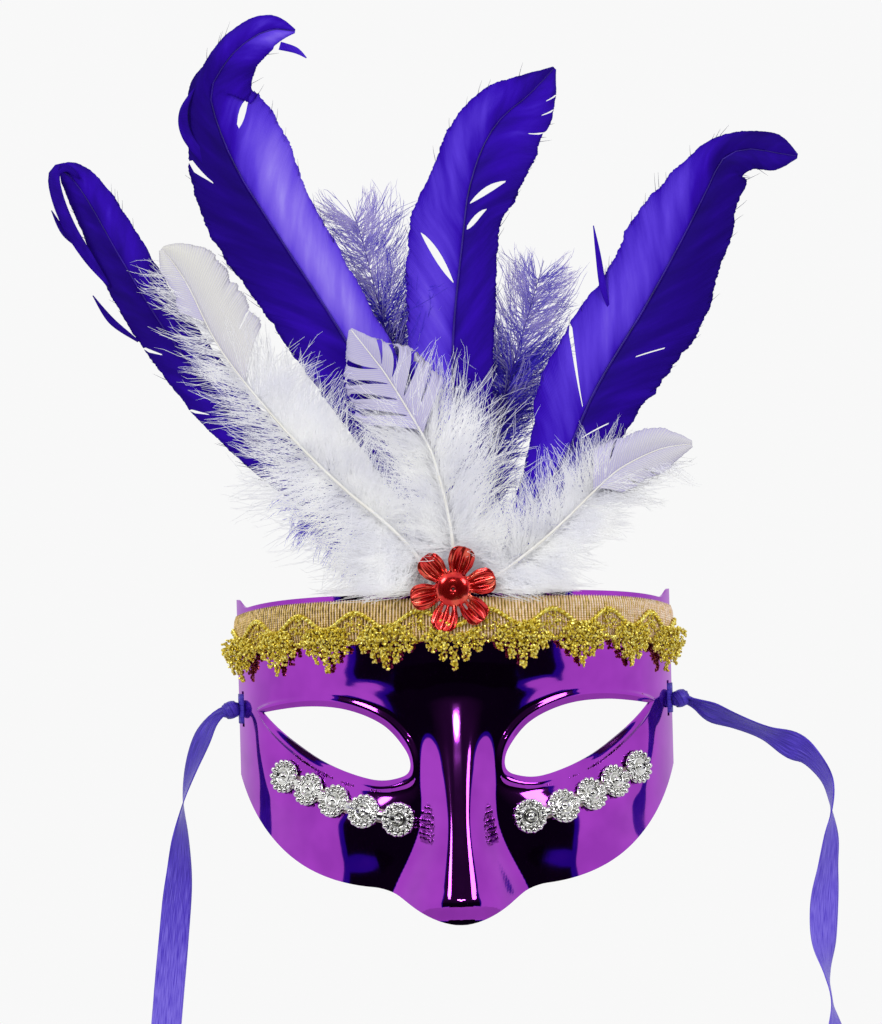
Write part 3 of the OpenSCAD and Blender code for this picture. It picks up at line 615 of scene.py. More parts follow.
dye = add_node(tree, "ShaderNodeValToRGB", {"Fac": mixed.outputs["Value"]},
               [(0.12, "6e5522"), (0.3, "c8a850"), (0.5, "ecce70"), (0.62, "f2c8a4"), (0.85, "fce8d2")])
twist = add_node(tree, "ShaderNodeTexWave", {"Vector": flat, "Scale": bands(0.8976), "Distortion": 1.5})
bump = add_node(tree, "ShaderNodeBump",
                {"Height": twist.outputs["Fac"], "Strength": 0.4, "Distance": 0.0003})
fill(shader, {"Base Color": dye.outputs["Color"], "Normal": bump.outputs["Normal"], "Metallic": 0.2,
              "Roughness": 0.42})
print("material", header_yarn.name)

# %% Weave the band
BRAID_HALF, BAND_H, BAND_GAP, BAND_T, HEADER_T = HALF_ARC - 1, 16.0, 0.5, 1.4, 0.5


def band_top(s):
    return temple_line(s) - 2


def band_low(s):
    return band_top(s) - BAND_H


def band_place(u, v):
    """A corner of the band: ribs that rise from its thin edges, which they scallop a little."""
    s = mix(-BRAID_HALF, BRAID_HALF, v)
    rib = abs(math.cos(math.pi * s / RIB))
    scallop = 0.3 * math.cos(2 * math.pi * s / RIB)
    z = mix(band_low(s) - scallop, band_top(s) + scallop, u)
    edge = min(1.0, 6 * min(u, 1 - u))
    return on_face(s, z, BAND_GAP + BAND_T * (0.25 + 0.15 * edge + 0.6 * rib * edge))


bm = bmesh.new()
faces = formed_sheet(bm, 8, 940, band_place, (BAND_H, 2 * BRAID_HALF))
thicken(bm, faces, HEADER_T, -1)
finish_piece("braid_header", bm, [header_yarn], ["braid_band"])

# %% [markdown]
# ## Gold braid: the waved cord
# The cord is two gold strands twisted together and sewn on in a wave: low over each lobe, high between
# two lobes. Two helices round the waved line make it, and the twist alone gives the barber-pole glints
# that the photograph shows.

# %% Gold yarn material
# Film wound round a core glints in flecks of about a millimetre and is dull in the folds. The colour paints
# these flecks as painted glints and painted shade, and the roughness follows them.
gold_yarn, tree, shader = start_material("gold_metallised_film_yarn")
hue, painted_glint_and_shade = clouded(tree, 1.111, 2.0, [(0.3, "a4860e"), (0.46, "e4ca34"), (0.62, "fff48c")])
gloss = add_node(tree, "ShaderNodeMapRange", {"Value": painted_glint_and_shade, "To Min": 0.45, "To Max": 0.2})
fill(shader, {"Base Color": hue, "Roughness": gloss.outputs["Result"], "Metallic": 0.65})
print("material", gold_yarn.name)

# %% Twist the cord along its wave
LOBE, WAVE_H = 25.3, 3.0
TWIST, TWIST_R, STRAND_R, CORD_LIFT, CORD_N = 3.1, 0.55, 0.58, 0.6, 619


def wave_z(s):
    return band_top(s) - BAND_H / 2 - WAVE_H * math.cos(2 * math.pi * s / LOBE)


def cord_strand(phase):
    """One of the two strands, as places with radii."""
    run = []
    for i in range(CORD_N + 1):
        s = mix(-BRAID_HALF + 1, BRAID_HALF - 1, i / CORD_N)
        turn = 2 * math.pi * s / TWIST + phase
        height = BAND_GAP + BAND_T + CORD_LIFT + TWIST_R * math.cos(turn)
        run.append((on_face(s, wave_z(s) + TWIST_R * math.sin(turn), height), STRAND_R))
    return run


bm = bmesh.new()
strands(bm, [cord_strand(0), cord_strand(math.pi)], roundness=1)
finish_piece("braid_wave", bm, [gold_yarn], ["braid_cord"])

# %% [markdown]
# ## Gold braid: the crocheted lobes
# Each lobe is a bunch of small loops of glitter yarn, which reads as a crust of bright grains in the
# shape of an inverted triangle, with a smaller bunch standing between two lobes under the cord. Grains
# with a few flat faces glint one by one as the yarn does, so they are left unsmoothed. A seeded dice
# scatters them, and they pile up higher towards the middle of a lobe.

# %% Scatter the grains of a lobe
dice = random.Random(11)
FLOWER_Z, FLOWER_CLEAR = FOREHEAD_Z + 1.4, 17.2
LOBE_RISE, LOBE_DROP, LOBE_HALF, LOOP_W, LOBE_T = 6.0, 11.0, 12.6, 4.2, 2.6
BUNCH_HALF, BUNCH_RISE = 7.0, 7.5


def lobe_spots(centre):
    """Grains of one hanging lobe and of the bunch to its right: place and size."""
    spots = []
    for _ in range(1050):
        fall, aside = dice.uniform(-LOBE_RISE, LOBE_DROP), dice.uniform(-LOBE_HALF, LOBE_HALF)
        loop_at = LOOP_W * round(aside / LOOP_W)
        loop_drop = LOBE_DROP - 0.8 * abs(loop_at)
        half = LOOP_W / 2 * (1 - 0.6 * max(0.0, fall - 1.5) / loop_drop)
        if fall > loop_drop or abs(aside - loop_at) > half or fall < abs(aside) - LOBE_HALF:
            continue
        s = centre + aside
        by_flower = math.hypot(s, band_low(s) - fall - FLOWER_Z) < FLOWER_CLEAR
        if by_flower or abs(s) > BRAID_HALF + 3:
            continue
        at_temple = 1 + 2 * smooth(92, 112, abs(s))
        thick = LOBE_T * (1 - (aside / 15) ** 2) * (1 - max(0.0, fall) / 18) * at_temple
        height = BAND_GAP + 0.5 + dice.uniform(0.2, 1) * thick + (BAND_T if fall < 0 else 0)
        spots.append((on_face(s, band_low(s) - fall, height), dice.uniform(0.42, 0.76)))
    for _ in range(120):
        rise, aside = dice.uniform(0, BUNCH_RISE), dice.uniform(-BUNCH_HALF, BUNCH_HALF)
        s = centre + LOBE / 2 + aside
        if abs(aside) < BUNCH_HALF * (1 - rise / 8.5) and abs(s) < BRAID_HALF:
            height = BAND_GAP + BAND_T + dice.uniform(0.1, 0.8)
            spots.append((on_face(s, band_low(s) + 3 + rise, height), dice.uniform(0.35, 0.6)))
    return spots


# %% Crochet the lobes
def grain_bunch(spots):
    """A mesh of one grain at each spot, spun and squashed at random."""
    bunch = bmesh.new()
    for place, size in spots:
        spun = Matrix.Rotation(dice.uniform(0, 6.28), 4, "X") @ Matrix.Rotation(dice.uniform(0, 6.28), 4, "Z")
        squash = Matrix.Diagonal((1, dice.uniform(0.6, 1), dice.uniform(0.8, 1.3), 1))
        grain = Matrix.Translation(place * MM) @ spun @ squash
        bmesh.ops.create_icosphere(bunch, subdivisions=1, radius=size * MM, matrix=grain)
    mesh = bpy.data.meshes.new("bunch")
    bunch.to_mesh(mesh)
    bunch.free()
    return mesh


bm = bmesh.new()
for k in range(-4, 5):
    bunch_mesh = grain_bunch(lobe_spots(k * LOBE))
    bm.from_mesh(bunch_mesh)
    bpy.data.meshes.remove(bunch_mesh)
finish_piece("braid_lobes", bm, [gold_yarn], ["braid_fringe"])

# %% [markdown]
# ## The red foil flower
# A stamping of red metallised foil: six spoon-shaped petals with three raised ribs each, round a domed
# middle with a pinhole. One petal is formed from a grid and copied round, and the dome is a profile spun
# about the flower's axis, which is how such dies are cut.

# %% Red foil material
# Lacquered foil: a bright metal under a clear coat, crumpled over 4 or 5 mm by the stamping.
red_foil, tree, shader = start_material("red_stamped_metal_foil")
hue, cloud = clouded(tree, 4.545, 3.0, [(0.3, "bc0c14"), (0.5, "e0241f"), (0.7, "f46a50")])
bump = add_node(tree, "ShaderNodeBump", {"Height": cloud, "Strength": 0.2, "Distance": 0.0006})
fill(shader, {"Base Color": hue, "Normal": bump.outputs["Normal"], "Metallic": 0.85, "Roughness": 0.2,
              "Coat Weight": 0.6, "Coat Roughness": 0.12})
print("material", red_foil.name)

# %% Stamp the flower
FLOWER_Y = face_point(0, band_top(0)).y - BAND_GAP - BAND_T - 1.6
FLOWER_AT = Vector((0, FLOWER_Y, FLOWER_Z))
PETALS, PETAL_IN, PETAL_OUT, PETAL_HALF, FOIL_T = 6, 5.4, 16.5, 4.9, 0.3


def petal_place(u, v):
    """A corner of the upright petal: spoon-shaped, ribbed, cupped and lifted towards its tip."""
    out, aside = mix(PETAL_IN, PETAL_OUT, v), 2 * u - 1
    round_tip = (1 - max(0.0, (v - 0.62) / 0.38) ** 2.6) ** 0.5
    half = PETAL_HALF * (0.62 + 0.38 * smooth(0, 0.5, v)) * round_tip
    ribs = 0.75 * math.cos(3 * math.pi * aside) * (1 - v**3) * min(1.0, 5 * v)
    cup = 1.3 * aside**2 * half / PETAL_HALF
    lift = 3.0 * max(0.0, (out - 7.5) / 9) ** 1.4
    return Vector((half * aside, -(lift * 0.8 + ribs + cup * 0.7 + 0.3), out))


def spin_profile(bm, places, axis, steps):
    """Turn a profile once round an axis through the origin."""
    corners = [bm.verts.new(place) for place in places]
    ridge = [bm.edges.new(pair) for pair in zip(corners, corners[1:])]
    bmesh.ops.spin(bm, geom=corners + ridge, cent=(0, 0, 0), axis=axis, angle=2 * math.pi, steps=steps,
                   use_merge=True)


bm = bmesh.new()
petal = formed_sheet(bm, 26, 24, petal_place)
petal_corners = list({corner for face in petal for corner in face.verts})
for k in range(PETALS):
    turn = Matrix.Rotation(-math.radians(13 + 360 / PETALS * k - 90), 3, "Y")
    copy = bmesh.ops.duplicate(bm, geom=petal_corners + petal)["geom"]
    bmesh.ops.rotate(bm, verts=[g for g in copy if isinstance(g, bmesh.types.BMVert)], matrix=turn)
bmesh.ops.delete(bm, geom=petal_corners, context="VERTS")
dome = [(0.5, -1.5), (0.9, -1.9), (2.4, -2.0), (4.0, -1.8), (5.2, -1.3), (6.2, -0.7), (6.8, -0.2),
        (7.0, 0.05)]
spin_profile(bm, [(r * MM, y * MM, 0) for r, y in dome], (0, 1, 0), 60)
bmesh.ops.remove_doubles(bm, verts=bm.verts, dist=1e-6)
bmesh.ops.recalc_face_normals(bm, faces=bm.faces)
for face in list(bm.faces):
    face.smooth = True
    if face.normal.y > 0:
        face.normal_flip()
bmesh.ops.solidify(bm, geom=list(bm.faces), thickness=FOIL_T * MM)
bmesh.ops.translate(bm, verts=bm.verts, vec=FLOWER_AT * MM)
finish_piece("flower", bm, [red_foil], ["foil_flower"])

# %% [markdown]
# ## The silver rosettes
# Five plated plastic rosettes follow each cheek. Each is a low dish with a ring of beads at its rim, a
# finer ring inside it and one bead in a round cup in the middle, on a strap that joins the row. The dish
# is spun from a profile, the beads are small spheres turned round its axis, and one rosette is copied
# along the curve.

# %% Plated silver material
# Plating over moulded beads: bright, with a gloss that wears unevenly every 2 mm or so.
silver, tree, shader = start_material("silver_plated_beaded_plastic")
hue, worn = clouded(tree, 2.0, 3.0, [(0.25, "c9c9c2"), (0.6, "ececea")])
gloss = add_node(tree, "ShaderNodeMapRange", {"Value": worn, "To Min": 0.1, "To Max": 0.24})
fill(shader, {"Base Color": hue, "Roughness": gloss.outputs["Result"], "Metallic": 1.0})
print("material", silver.name)

# %% Make one rosette lying flat, its axis up Z
rosette = bmesh.new()
dish = [(0.01, 0.3), (1.6, 0.3), (2.3, 0.5), (2.8, 1.2), (3.1, 1.55), (3.4, 1.4), (3.7, 0.9), (4.8, 0.7),
        (6.2, 0.6), (6.5, 0.1)]
spin_profile(rosette, [(r, 0, h) for r, h in dish], (0, 0, 1), 36)
for count, ring, size, height in [(14, 5.6, 1.15, 0.9), (16, 4.1, 0.6, 1.2)]:
    for k in range(count):
        turn = Matrix.Rotation(2 * math.pi * k / count, 4, "Z") @ Matrix.Translation((ring, 0, height))
        bmesh.ops.create_icosphere(rosette, subdivisions=2, radius=size, matrix=turn)
bmesh.ops.create_uvsphere(rosette, u_segments=14, v_segments=9, radius=1.5,
                          matrix=Matrix.Translation((0, 0, 1.1)))
bmesh.ops.remove_doubles(rosette, verts=rosette.verts, dist=1e-4)
bmesh.ops.recalc_face_normals(rosette, faces=rosette.faces)
for face in rosette.faces:
    face.smooth = True
rosette_mesh = bpy.data.meshes.new("rosette")
rosette.to_mesh(rosette_mesh)
rosette.free()
print("rosette", len(rosette_mesh.polygons), "faces")

# %% Set five rosettes and their strap along each cheek
ROSETTES, ROSETTE_PITCH, ROSETTE_LIFT = 5, 14.0, 0.7
STRIP_TILT, STRIP_S, STRIP_SHIFT, STRIP_Z, STRIP_SAG = math.radians(16), 24.9, 2.0, -26.8, 5.2
STRAP_W, STRAP_T, STRAP_LIFT, STRAP_BELLY = 3.0, 0.5, 1.1, 0.4


def strip_at(side, share):
    """Flat place at a share of the way along a strip, which rises outwards and sags a little."""
    run = (ROSETTES - 1) * ROSETTE_PITCH * math.cos(STRIP_TILT)
    s = STRIP_S + STRIP_SHIFT * side + share * run
    return s, STRIP_Z + share * run * math.tan(STRIP_TILT) - STRIP_SAG * share * (1 - share)


def rosette_strip(side):
    """A strap along a cheek, with its rosettes set square to the shell."""
    def strap_place(u, v):
        s, z = strip_at(side, v)
        p = on_face(s, z + STRAP_W * (u - 0.5), STRAP_LIFT + STRAP_BELLY * (1 - (2 * u - 1) ** 2))
        return Vector((side * p.x, p.y, p.z))

    bm = bmesh.new()
    strap = formed_sheet(bm, 4, 40, strap_place)
    thicken(bm, strap, STRAP_T)
    for k in range(ROSETTES):
        s, z = strip_at(side, k / (ROSETTES - 1))
        normal, centre = face_normal(s, z), on_face(s, z, ROSETTE_LIFT)
        normal.x, centre.x = normal.x * side, centre.x * side
        aim = normal.to_track_quat("Z", "Y").to_matrix().to_4x4()
        setting = Matrix.Translation(centre * MM) @ aim @ Matrix.Scale(MM, 4)
        rosette_mesh.transform(setting)
        bm.from_mesh(rosette_mesh)
        rosette_mesh.transform(setting.inverted())
    word = SIDE[side]
    finish_piece(word + "_rosettes", bm, [silver], [word + "_rosette_strip"])


for side in SIDE:
    rosette_strip(side)

# %% [markdown]
# ## Glue and felt
# Cloudy hot glue holds the braid, the flower, the rosettes and the quills, and a felt patch keeps the
# quill ends off the forehead. The glue is already the right shape in the solids, so it only needs its
# material: milky, slightly pink, with a soft gloss. The patch is a rounded pad of felt with a fuzzy bump.

# %% Glue on the solids that stay
# Set glue is clear and milky by turns, in clouds of about 4 mm.
glue, tree, shader = start_material("cloudy_hot_glue")
hue = clouded(tree, 4.0, 3.0, [(0.3, "d9b6b8"), (0.7, "ecd8d2")])[0]
fill(shader, {"Base Color": hue, "Roughness": 0.25, "Transmission Weight": 0.55})
for node in ("braid_glue", "flower_glue", "left_rosette_glue", "right_rosette_glue", "quill_glue"):
    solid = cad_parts[node]
    solid.data.materials.clear()
    solid.data.materials.append(glue)
print("glue on five solids")

# %% Felt material and patch
# Pressed fibres are finer than a picture shows, so the fuzz is drawn at two thirds of a millimetre.
felt, tree, shader = start_material("grey_pressed_felt")
hue, fuzz = clouded(tree, 0.6667, 5.0, [(0.3, "4a4a50"), (0.7, "6c6c72")])
bump = add_node(tree, "ShaderNodeBump", {"Height": fuzz, "Strength": 0.6, "Distance": 0.0004})
fill(shader, {"Base Color": hue, "Normal": bump.outputs["Normal"], "Roughness": 0.95, "Sheen Weight": 0.4})
PATCH_HALF, PATCH_LOW, PATCH_H, PATCH_T = 18.0, 40.0, 15.5, 1.2
PAD_HALF, PAD_DEPTH, PAD_EDGE = 9.75, 9.5, 0.3


def patch_place(u, v):
    """A corner of the patch, which stands off the shell over the quill ends."""
    s, z = mix(-PATCH_HALF, PATCH_HALF, v), mix(PATCH_LOW, PATCH_LOW + PATCH_H, u)
    depth = PAD_EDGE + PAD_DEPTH * (1 - smooth(PAD_HALF, PATCH_HALF, abs(s)))
    return on_face(s, z, -WALL - depth - PATCH_T)


bm = bmesh.new()
faces = formed_sheet(bm, 14, 36, patch_place, (PATCH_H, 2 * PATCH_HALF))
thicken(bm, faces, PATCH_T, 1)
patch = finish_piece("felt_patch", bm, [felt], ["quill_patch"])

# %% [markdown]
# ## Feathers: how they are built
# A feather is a tapered shaft with hundreds of barbs on each side that hook together into a vane. Where
# the hooks let go, the vane splits along a barb and the edge frays. A grid stands for each half vane: its
# rows are barbs that leave the shaft and lean towards the tip, so a split is a row taken out and its
# neighbours pulled apart. Low on the shaft the barbs are loose down, which is made of strands instead.

# %% Where the quills meet, and the frame along a shaft
QUILL_Z = 54.0
ROOT = Vector((0, face_point(0, QUILL_Z).y + WALL, QUILL_Z))
QUILL_R, SHAFT_TIP_R, SHAFT_N = 1.0, 0.22, 40
ROW_FRONT, ROW_MIDDLE, ROW_BACK = 2.2, 4.9, 7.6
VANE, TONE = {-1: 3, 1: 4}, {-1: 5, 1: 6}  # a station's vane width and tone on either side


def shaft_frame(route, mm):
    """Place, way ahead, way to the right and way to the front along a shaft, and its station."""
    q, ahead = route.at(mm), route.heading(mm)
    aside = Vector((ahead.z, 0, -ahead.x)).normalized()
    return ROOT + Vector(q[:3]), ahead, aside, aside.cross(ahead), q


def shaft_run(route):
    """A shaft's places with radii, from its quill to its thin tip."""
    run = []
    for i in range(SHAFT_N + 1):
        centre = shaft_frame(route, (route.length - 1) * i / SHAFT_N)[0]
        run.append((centre, mix(QUILL_R, SHAFT_TIP_R, (i / SHAFT_N) ** 0.7)))
    return run


# %% One half of a vane
VANE_T, BELLY = 0.14, 0.1


def opening(a, split):
    """How far a split has opened at a share of the way out: a slit closes again, a tear stays open."""
    near, far, gap = split[1:]
    if not near < a < far:
        return 0.0
    t = (a - near) / (far - near)
    return gap / 2 * (t if far >= 1 else math.sin(math.pi * t) ** 0.8)


def half_vane(bm, route, side, begin, splits, lean, fray, rows, share=1.0):
    """A half vane from a length along the shaft to its tip; side is -1 for left and 1 for right."""
    rough = random.Random(int(begin * 7 + side * 3 + route.length))
    end = route.length - 0.5
    pitch = (end - begin) / rows
    clump, edge_noise = 0.0, []
    for _ in range(rows + 1):
        clump = clump * 0.93 + rough.uniform(-1, 1) * 0.3
        edge_noise.append(1 + fray * clump + fray * 0.1 * rough.uniform(-1, 1))

    def place(u, v):
        row = round(v * rows)
        mm = begin + row * pitch
        here = share * route.at(mm)[VANE[side]]
        sweep = lean * u * here
        for split in splits:
            push = opening(u, split) * math.exp(-((mm - split[0]) / 7) ** 2)
            sweep += push if mm >= split[0] else -push
        left = end - mm + 1e-3
        along = mm + (left * (1 - math.exp(-sweep / left)) if sweep > 0 else sweep)
        centre, ahead, aside, front, q = shaft_frame(route, along)
        width = share * q[VANE[side]] * u * (1 + (edge_noise[row] - 1) * u * u)
        bend = BELLY * here * math.sin(math.pi * u) - 0.05 * here * u
        return centre + aside * side * width + front * bend

    faces = formed_sheet(bm, 12, rows, place, (1.0, end - begin))
    uv, tone = bm.loops.layers.uv.get("UVMap"), bm.verts.layers.float.get("tone")
    gone = []
    for face in faces:
        a = sum(loop[uv].uv.x for loop in face.loops) / 4
        mm = begin + sum(loop[uv].uv.y for loop in face.loops) / 4
        for loop in face.loops:
            # The tone is painted light and shade: the station's tone across the middle of the half vane,
            # painted darker towards the shaft and the edge.
            full = route.at(begin + loop[uv].uv.y)[TONE[side]]
            across = math.sin(math.pi * (0.12 + 0.76 * loop[uv].uv.x))
            loop.vert[tone] = mix(0.5 * full + 0.1, full, across)
        if any(s[1] < a < s[2] and abs(mm - s[0]) <= pitch / 2 for s in splits):
            gone.append(face)
    kept = [face for face in faces if face not in gone]
    bmesh.ops.delete(bm, geom=gone, context="FACES")
    return kept


# %% Loose barbs and tufts of them
DOWN_R, FLUFF_R = 0.15, 0.08  # real down is finer still and wouldn't show


def drawn(draw, a, b):
    """A vector of three numbers drawn one after the other."""
    return Vector([draw(a, b) for _ in range(3)])


def hair(start, heading, length, r, bend, rough, steps, stray=0.07):
    """A hair that starts one way, bends steadily and wanders a little: places with radii."""
    p, way, run = start.copy(), heading.normalized(), []
    for k in range(steps + 1):
        run.append((p.copy(), r * (1 - 0.75 * k / steps)))
        way = (way + bend / steps + drawn(rough.uniform, -1, 1) * stray).normalized()
        p += way * length / steps
    return run


def tuft(spine, spread, count, fluff, rough):
    """Barbs that start apart and close in on one curved line, with fine fluff on their outer parts."""
    runs = []
    for _ in range(count):
        apart = drawn(rough.gauss, 0, 1) * spread
        swell = drawn(rough.gauss, 0, 1) * spread * 0.8
        stop = rough.uniform(0.6, 1) * (len(spine) - 1)
        barb = []
        for k, (p, r) in enumerate(spine):
            t = k / (len(spine) - 1)
            if k <= stop:
                barb.append((p + apart * (1 - t) * min(1, 4 * t) + swell * math.sin(math.pi * t), r))
        runs.append(barb)
        for _ in range(fluff):
            k = rough.randint(1, len(barb) - 1)
            way = (barb[k][0] - barb[k - 1][0]).normalized()
            aside = drawn(rough.uniform, -1, 1)
            runs.append(hair(barb[k][0], way + aside * 0.9, rough.uniform(1.8, 4.2), FLUFF_R, way, rough, 1))
    return runs


# %% Down along a shaft, which rests on the braid
BOTH, LEFT_ONLY, RIGHT_ONLY = (-1, 1), (-1,), (1,)
REST_Z, BEHIND_QUILL = FOREHEAD_Z + 2, 3.0


def down(route, begin, end, sides, pitch, rough, size, fluff, lean, shortest, count, stray=0.18,
         curl=(0.1, 1.3)):
    """Tufts of down along the sides of a shaft that rest on the braid and stay behind the flower."""
    runs = []
    for i in range(int((end - begin) / pitch) * len(sides)):
        side = sides[i % len(sides)]
        mm = begin + pitch * (i // len(sides) + rough.random())
        centre, ahead, aside, front, q = shaft_frame(route, mm)
        length = size * max(shortest, q[VANE[side]]) * rough.uniform(0.7, 1.15)
        heading = aside * side + ahead * rough.uniform(*lean) + front * rough.uniform(-0.5, 0.5)
        bend = ahead * rough.uniform(*curl) + front * rough.uniform(-0.4, 0.4)
        spine = hair(centre - front * BEHIND_QUILL, heading, length, DOWN_R, bend, rough, 5, stray)
        runs += tuft(spine, 0.09 * length, count, fluff, rough)
    for run in runs:
        for p, r in run:
            p.z = max(p.z, 0.25 * p.z + 0.75 * REST_Z)
    kept = []
    for run in runs:
        clear = rough.uniform(13, 18)
        if all(math.hypot(p.x, p.z - FLOWER_Z) > clear or p.y > FLOWER_Y + 2.5 for p, r in run):
            kept.append(run)
    return kept


# %% [markdown]
# ## Dyed goose feathers
# The four tall feathers are goose, dyed violet. A vane shows fine lines along its barbs and a satin shine
# that shifts between its two halves, from almost black violet to pale lilac. That shine is painted: a tone
# stored at each station paints its light and shade into the colour, a fine wave over the UV map draws the
# barbs, and a stretched noise makes it patchy.


# %% Light that passes through fine down
def let_light_through(tree, shader, hue, share):
    """Down glows because light passes from barb to barb: it shines through and throws a weak shadow."""
    fill(shader, {"Base Color": hue})
    glow = add_node(tree, "ShaderNodeBsdfTranslucent", {"Color": hue})
    both = add_node(tree, "ShaderNodeMixShader", {0: 0.5, 1: shader.outputs["BSDF"], 2: glow.outputs["BSDF"]})
    rays = add_node(tree, "ShaderNodeLightPath")
    weak = add_node(tree, "ShaderNodeMath", {0: rays.outputs["Is Shadow Ray"], 1: share},
                    operation="MULTIPLY")
    clear = add_node(tree, "ShaderNodeBsdfTransparent")
    passed = add_node(tree, "ShaderNodeMixShader",
                      {0: weak.outputs["Value"], 1: both.outputs["Shader"], 2: clear.outputs["BSDF"]})
    fill(tree.nodes["Material Output"], {"Surface": passed.outputs["Shader"]})


# %% Violet vane material
# Barbs lie about 0.4 mm apart and are drawn at 0.57 mm, which is as fine as the picture shows.
violet_vane, tree, shader = start_material("violet_dyed_goose_vane")
flat = add_node(tree, "ShaderNodeUVMap", uv_map="UVMap").outputs["UV"]
# The tone is painted sheen and shade: light and dark on the vane, drawn into its colour by the ramp.
tone = add_node(tree, "ShaderNodeAttribute", attribute_name="tone")
barbs = add_node(tree, "ShaderNodeTexWave",
                 {"Vector": flat, "Scale": bands(0.5712), "Distortion": 0.6, "Detail": 2.0},
                 bands_direction="Y")
stretch = add_node(tree, "ShaderNodeMapping", {"Vector": flat, "Scale": (0.9, 0.1, 1.0)})
patchy = add_node(tree, "ShaderNodeTexNoise",
                  {"Vector": stretch.outputs["Vector"], "Scale": 1.0, "Detail": 5.0})
lines = add_node(tree, "ShaderNodeMath", {0: barbs.outputs["Fac"], 1: 0.07}, operation="MULTIPLY")
patches = add_node(tree, "ShaderNodeMath", {0: patchy.outputs["Fac"], 1: 0.44, 2: -0.26},
                   operation="MULTIPLY_ADD")
marks = add_node(tree, "ShaderNodeMath", {0: lines.outputs["Value"], 1: patches.outputs["Value"]},
                 operation="ADD")
shade = add_node(tree, "ShaderNodeMath", {0: marks.outputs["Value"], 1: tone.outputs["Fac"]},
                 operation="ADD")
dye = add_node(tree, "ShaderNodeValToRGB", {"Fac": shade.outputs["Value"]},
               [(0.0, "140252"), (0.25, "220582"), (0.45, "360cb8"), (0.65, "6040e2"), (0.85, "8a70f2"),
                (1.0, "b0a2fc")])
bump = add_node(tree, "ShaderNodeBump",
                {"Height": barbs.outputs["Fac"], "Strength": 0.15, "Distance": 0.0002})
fill(shader, {"Base Color": dye.outputs["Color"], "Normal": bump.outputs["Normal"], "Roughness": 0.5,
              "Specular IOR Level": 0.04})
print("material", violet_vane.name)

# %% Violet down and shaft materials
violet_down, tree, shader = start_material("violet_dyed_down")
hue = clouded(tree, 11.11, 3.0, [(0.3, "3418c0"), (0.65, "5e44e6")])[0]
let_light_through(tree, shader, hue, 0.7)
fill(shader, {"Roughness": 0.8})

violet_shaft, tree, shader = start_material("violet_dyed_quill")
hue = clouded(tree, 8.333, 2.0, [(0.3, "1c0768"), (0.7, "34129c")])[0]
fill(shader, {"Base Color": hue, "Roughness": 0.4, "Specular IOR Level": 0.3})
print("materials", violet_down.name, violet_shaft.name)

# %% Stations of the violet feathers: across, back, up, left vane, right vane, left tone, right tone
far_left = Route([
    (-9.5, ROW_MIDDLE, -8, 0, 0, .3, .3), (-9.5, ROW_MIDDLE, 0, 0, 0, .3, .3), (-13, 6.5, 10, 0, 0, .3, .3),
    (-27, 9.5, 26, 1, 1, .3, .3), (-47, 10, 42, 8, 9, .34, .34), (-79, 11, 70, 10, 10, .3, .3),
    (-105, 13, 104, 11, 10.5, .22, .3), (-123, 16, 134, 10, 10.5, .2, .36), (-136, 18, 158, 7, 9, .26, .4),
    (-143, 16, 168.5, 4, 6, .3, .36), (-147, 13, 171.5, .5, .5, .2, .2)])
left_tall = Route([
    (-3.5, ROW_MIDDLE, -8, 0, 0, .3, .5), (-3.5, ROW_MIDDLE, 0, 0, 0, .3, .5), (-5, 3.6, 12, 0, 0, .3, .5),
    (-9, 2.8, 29, 3, 3, .3, .5), (-24, 2.8, 71, 14, 12, .34, .66), (-38.5, 2.8, 102, 19, 15, .32, .84),
    (-64, 2, 144, 22, 18, .2, .86), (-79, 1, 170, 17, 22, .16, .56), (-87, -1, 194, 9, 19, .24, .34),
    (-83.5, -4, 204, 7, 14, .34, .36), (-75.5, -8, 213, 7, 10, .42, .5), (-64, -11, 219, 6, 7, .44, .74),
    (-53.5, -13, 218, .5, .5, .4, .6)])
centre_tall = Route([
    (2.5, ROW_MIDDLE, -8, 0, 0, .5, .3), (2.5, ROW_MIDDLE, 0, 0, 0, .5, .3), (2.5, 5.6, 10, 0, 0, .5, .3),
    (2.5, 7.6, 25, 3, 3, .5, .3), (2.2, 7.6, 63, 14, 13, .62, .3), (2.5, 8, 101, 17, 16, .64, .34),
    (7.5, 9, 142, 22, 14, .56, .32), (10, 10, 158, 17, 18, .54, .34), (15.5, 11, 174, 15, 20, .5, .4),
    (23, 12, 185.5, 13, 19, .42, .42), (34, 13, 194.5, 9, 13, .3, .4), (44.5, 14, 205, .5, .5, .2, .34)])
right_tall = Route([
    (8.5, ROW_MIDDLE, -8, 0, 0, .4, .3), (8.5, ROW_MIDDLE, 0, 0, 0, .4, .3), (13, 4.8, 12, 0, 0, .4, .3),
    (30, 5.2, 35.5, 7, 7, .44, .36), (43.5, 5.2, 54, 15, 14, .54, .34), (56.5, 5, 81, 21, 18, .62, .26),
    (76.5, 4, 112.5, 20, 22, .64, .24), (91.5, 2, 138.5, 20, 17, .56, .2),
    (100.5, 0, 155.5, 15, 13, .36, .18), (107, -2, 167, 9, 12, .2, .2), (116.5, -4, 170, 7, 8, .2, .24),
    (127, -6, 168, 7, 6.5, .28, .3), (135, -7, 166.5, .5, .5, .26, .26)])
for name, route in [("far left", far_left), ("left", left_tall), ("centre", centre_tall),
                    ("right", right_tall)]:
    print(name, "feather", round(route.length), "mm long")


# %% How a violet feather is put together
VIOLET_LEAN, FRAY_R = 1.5, 0.11


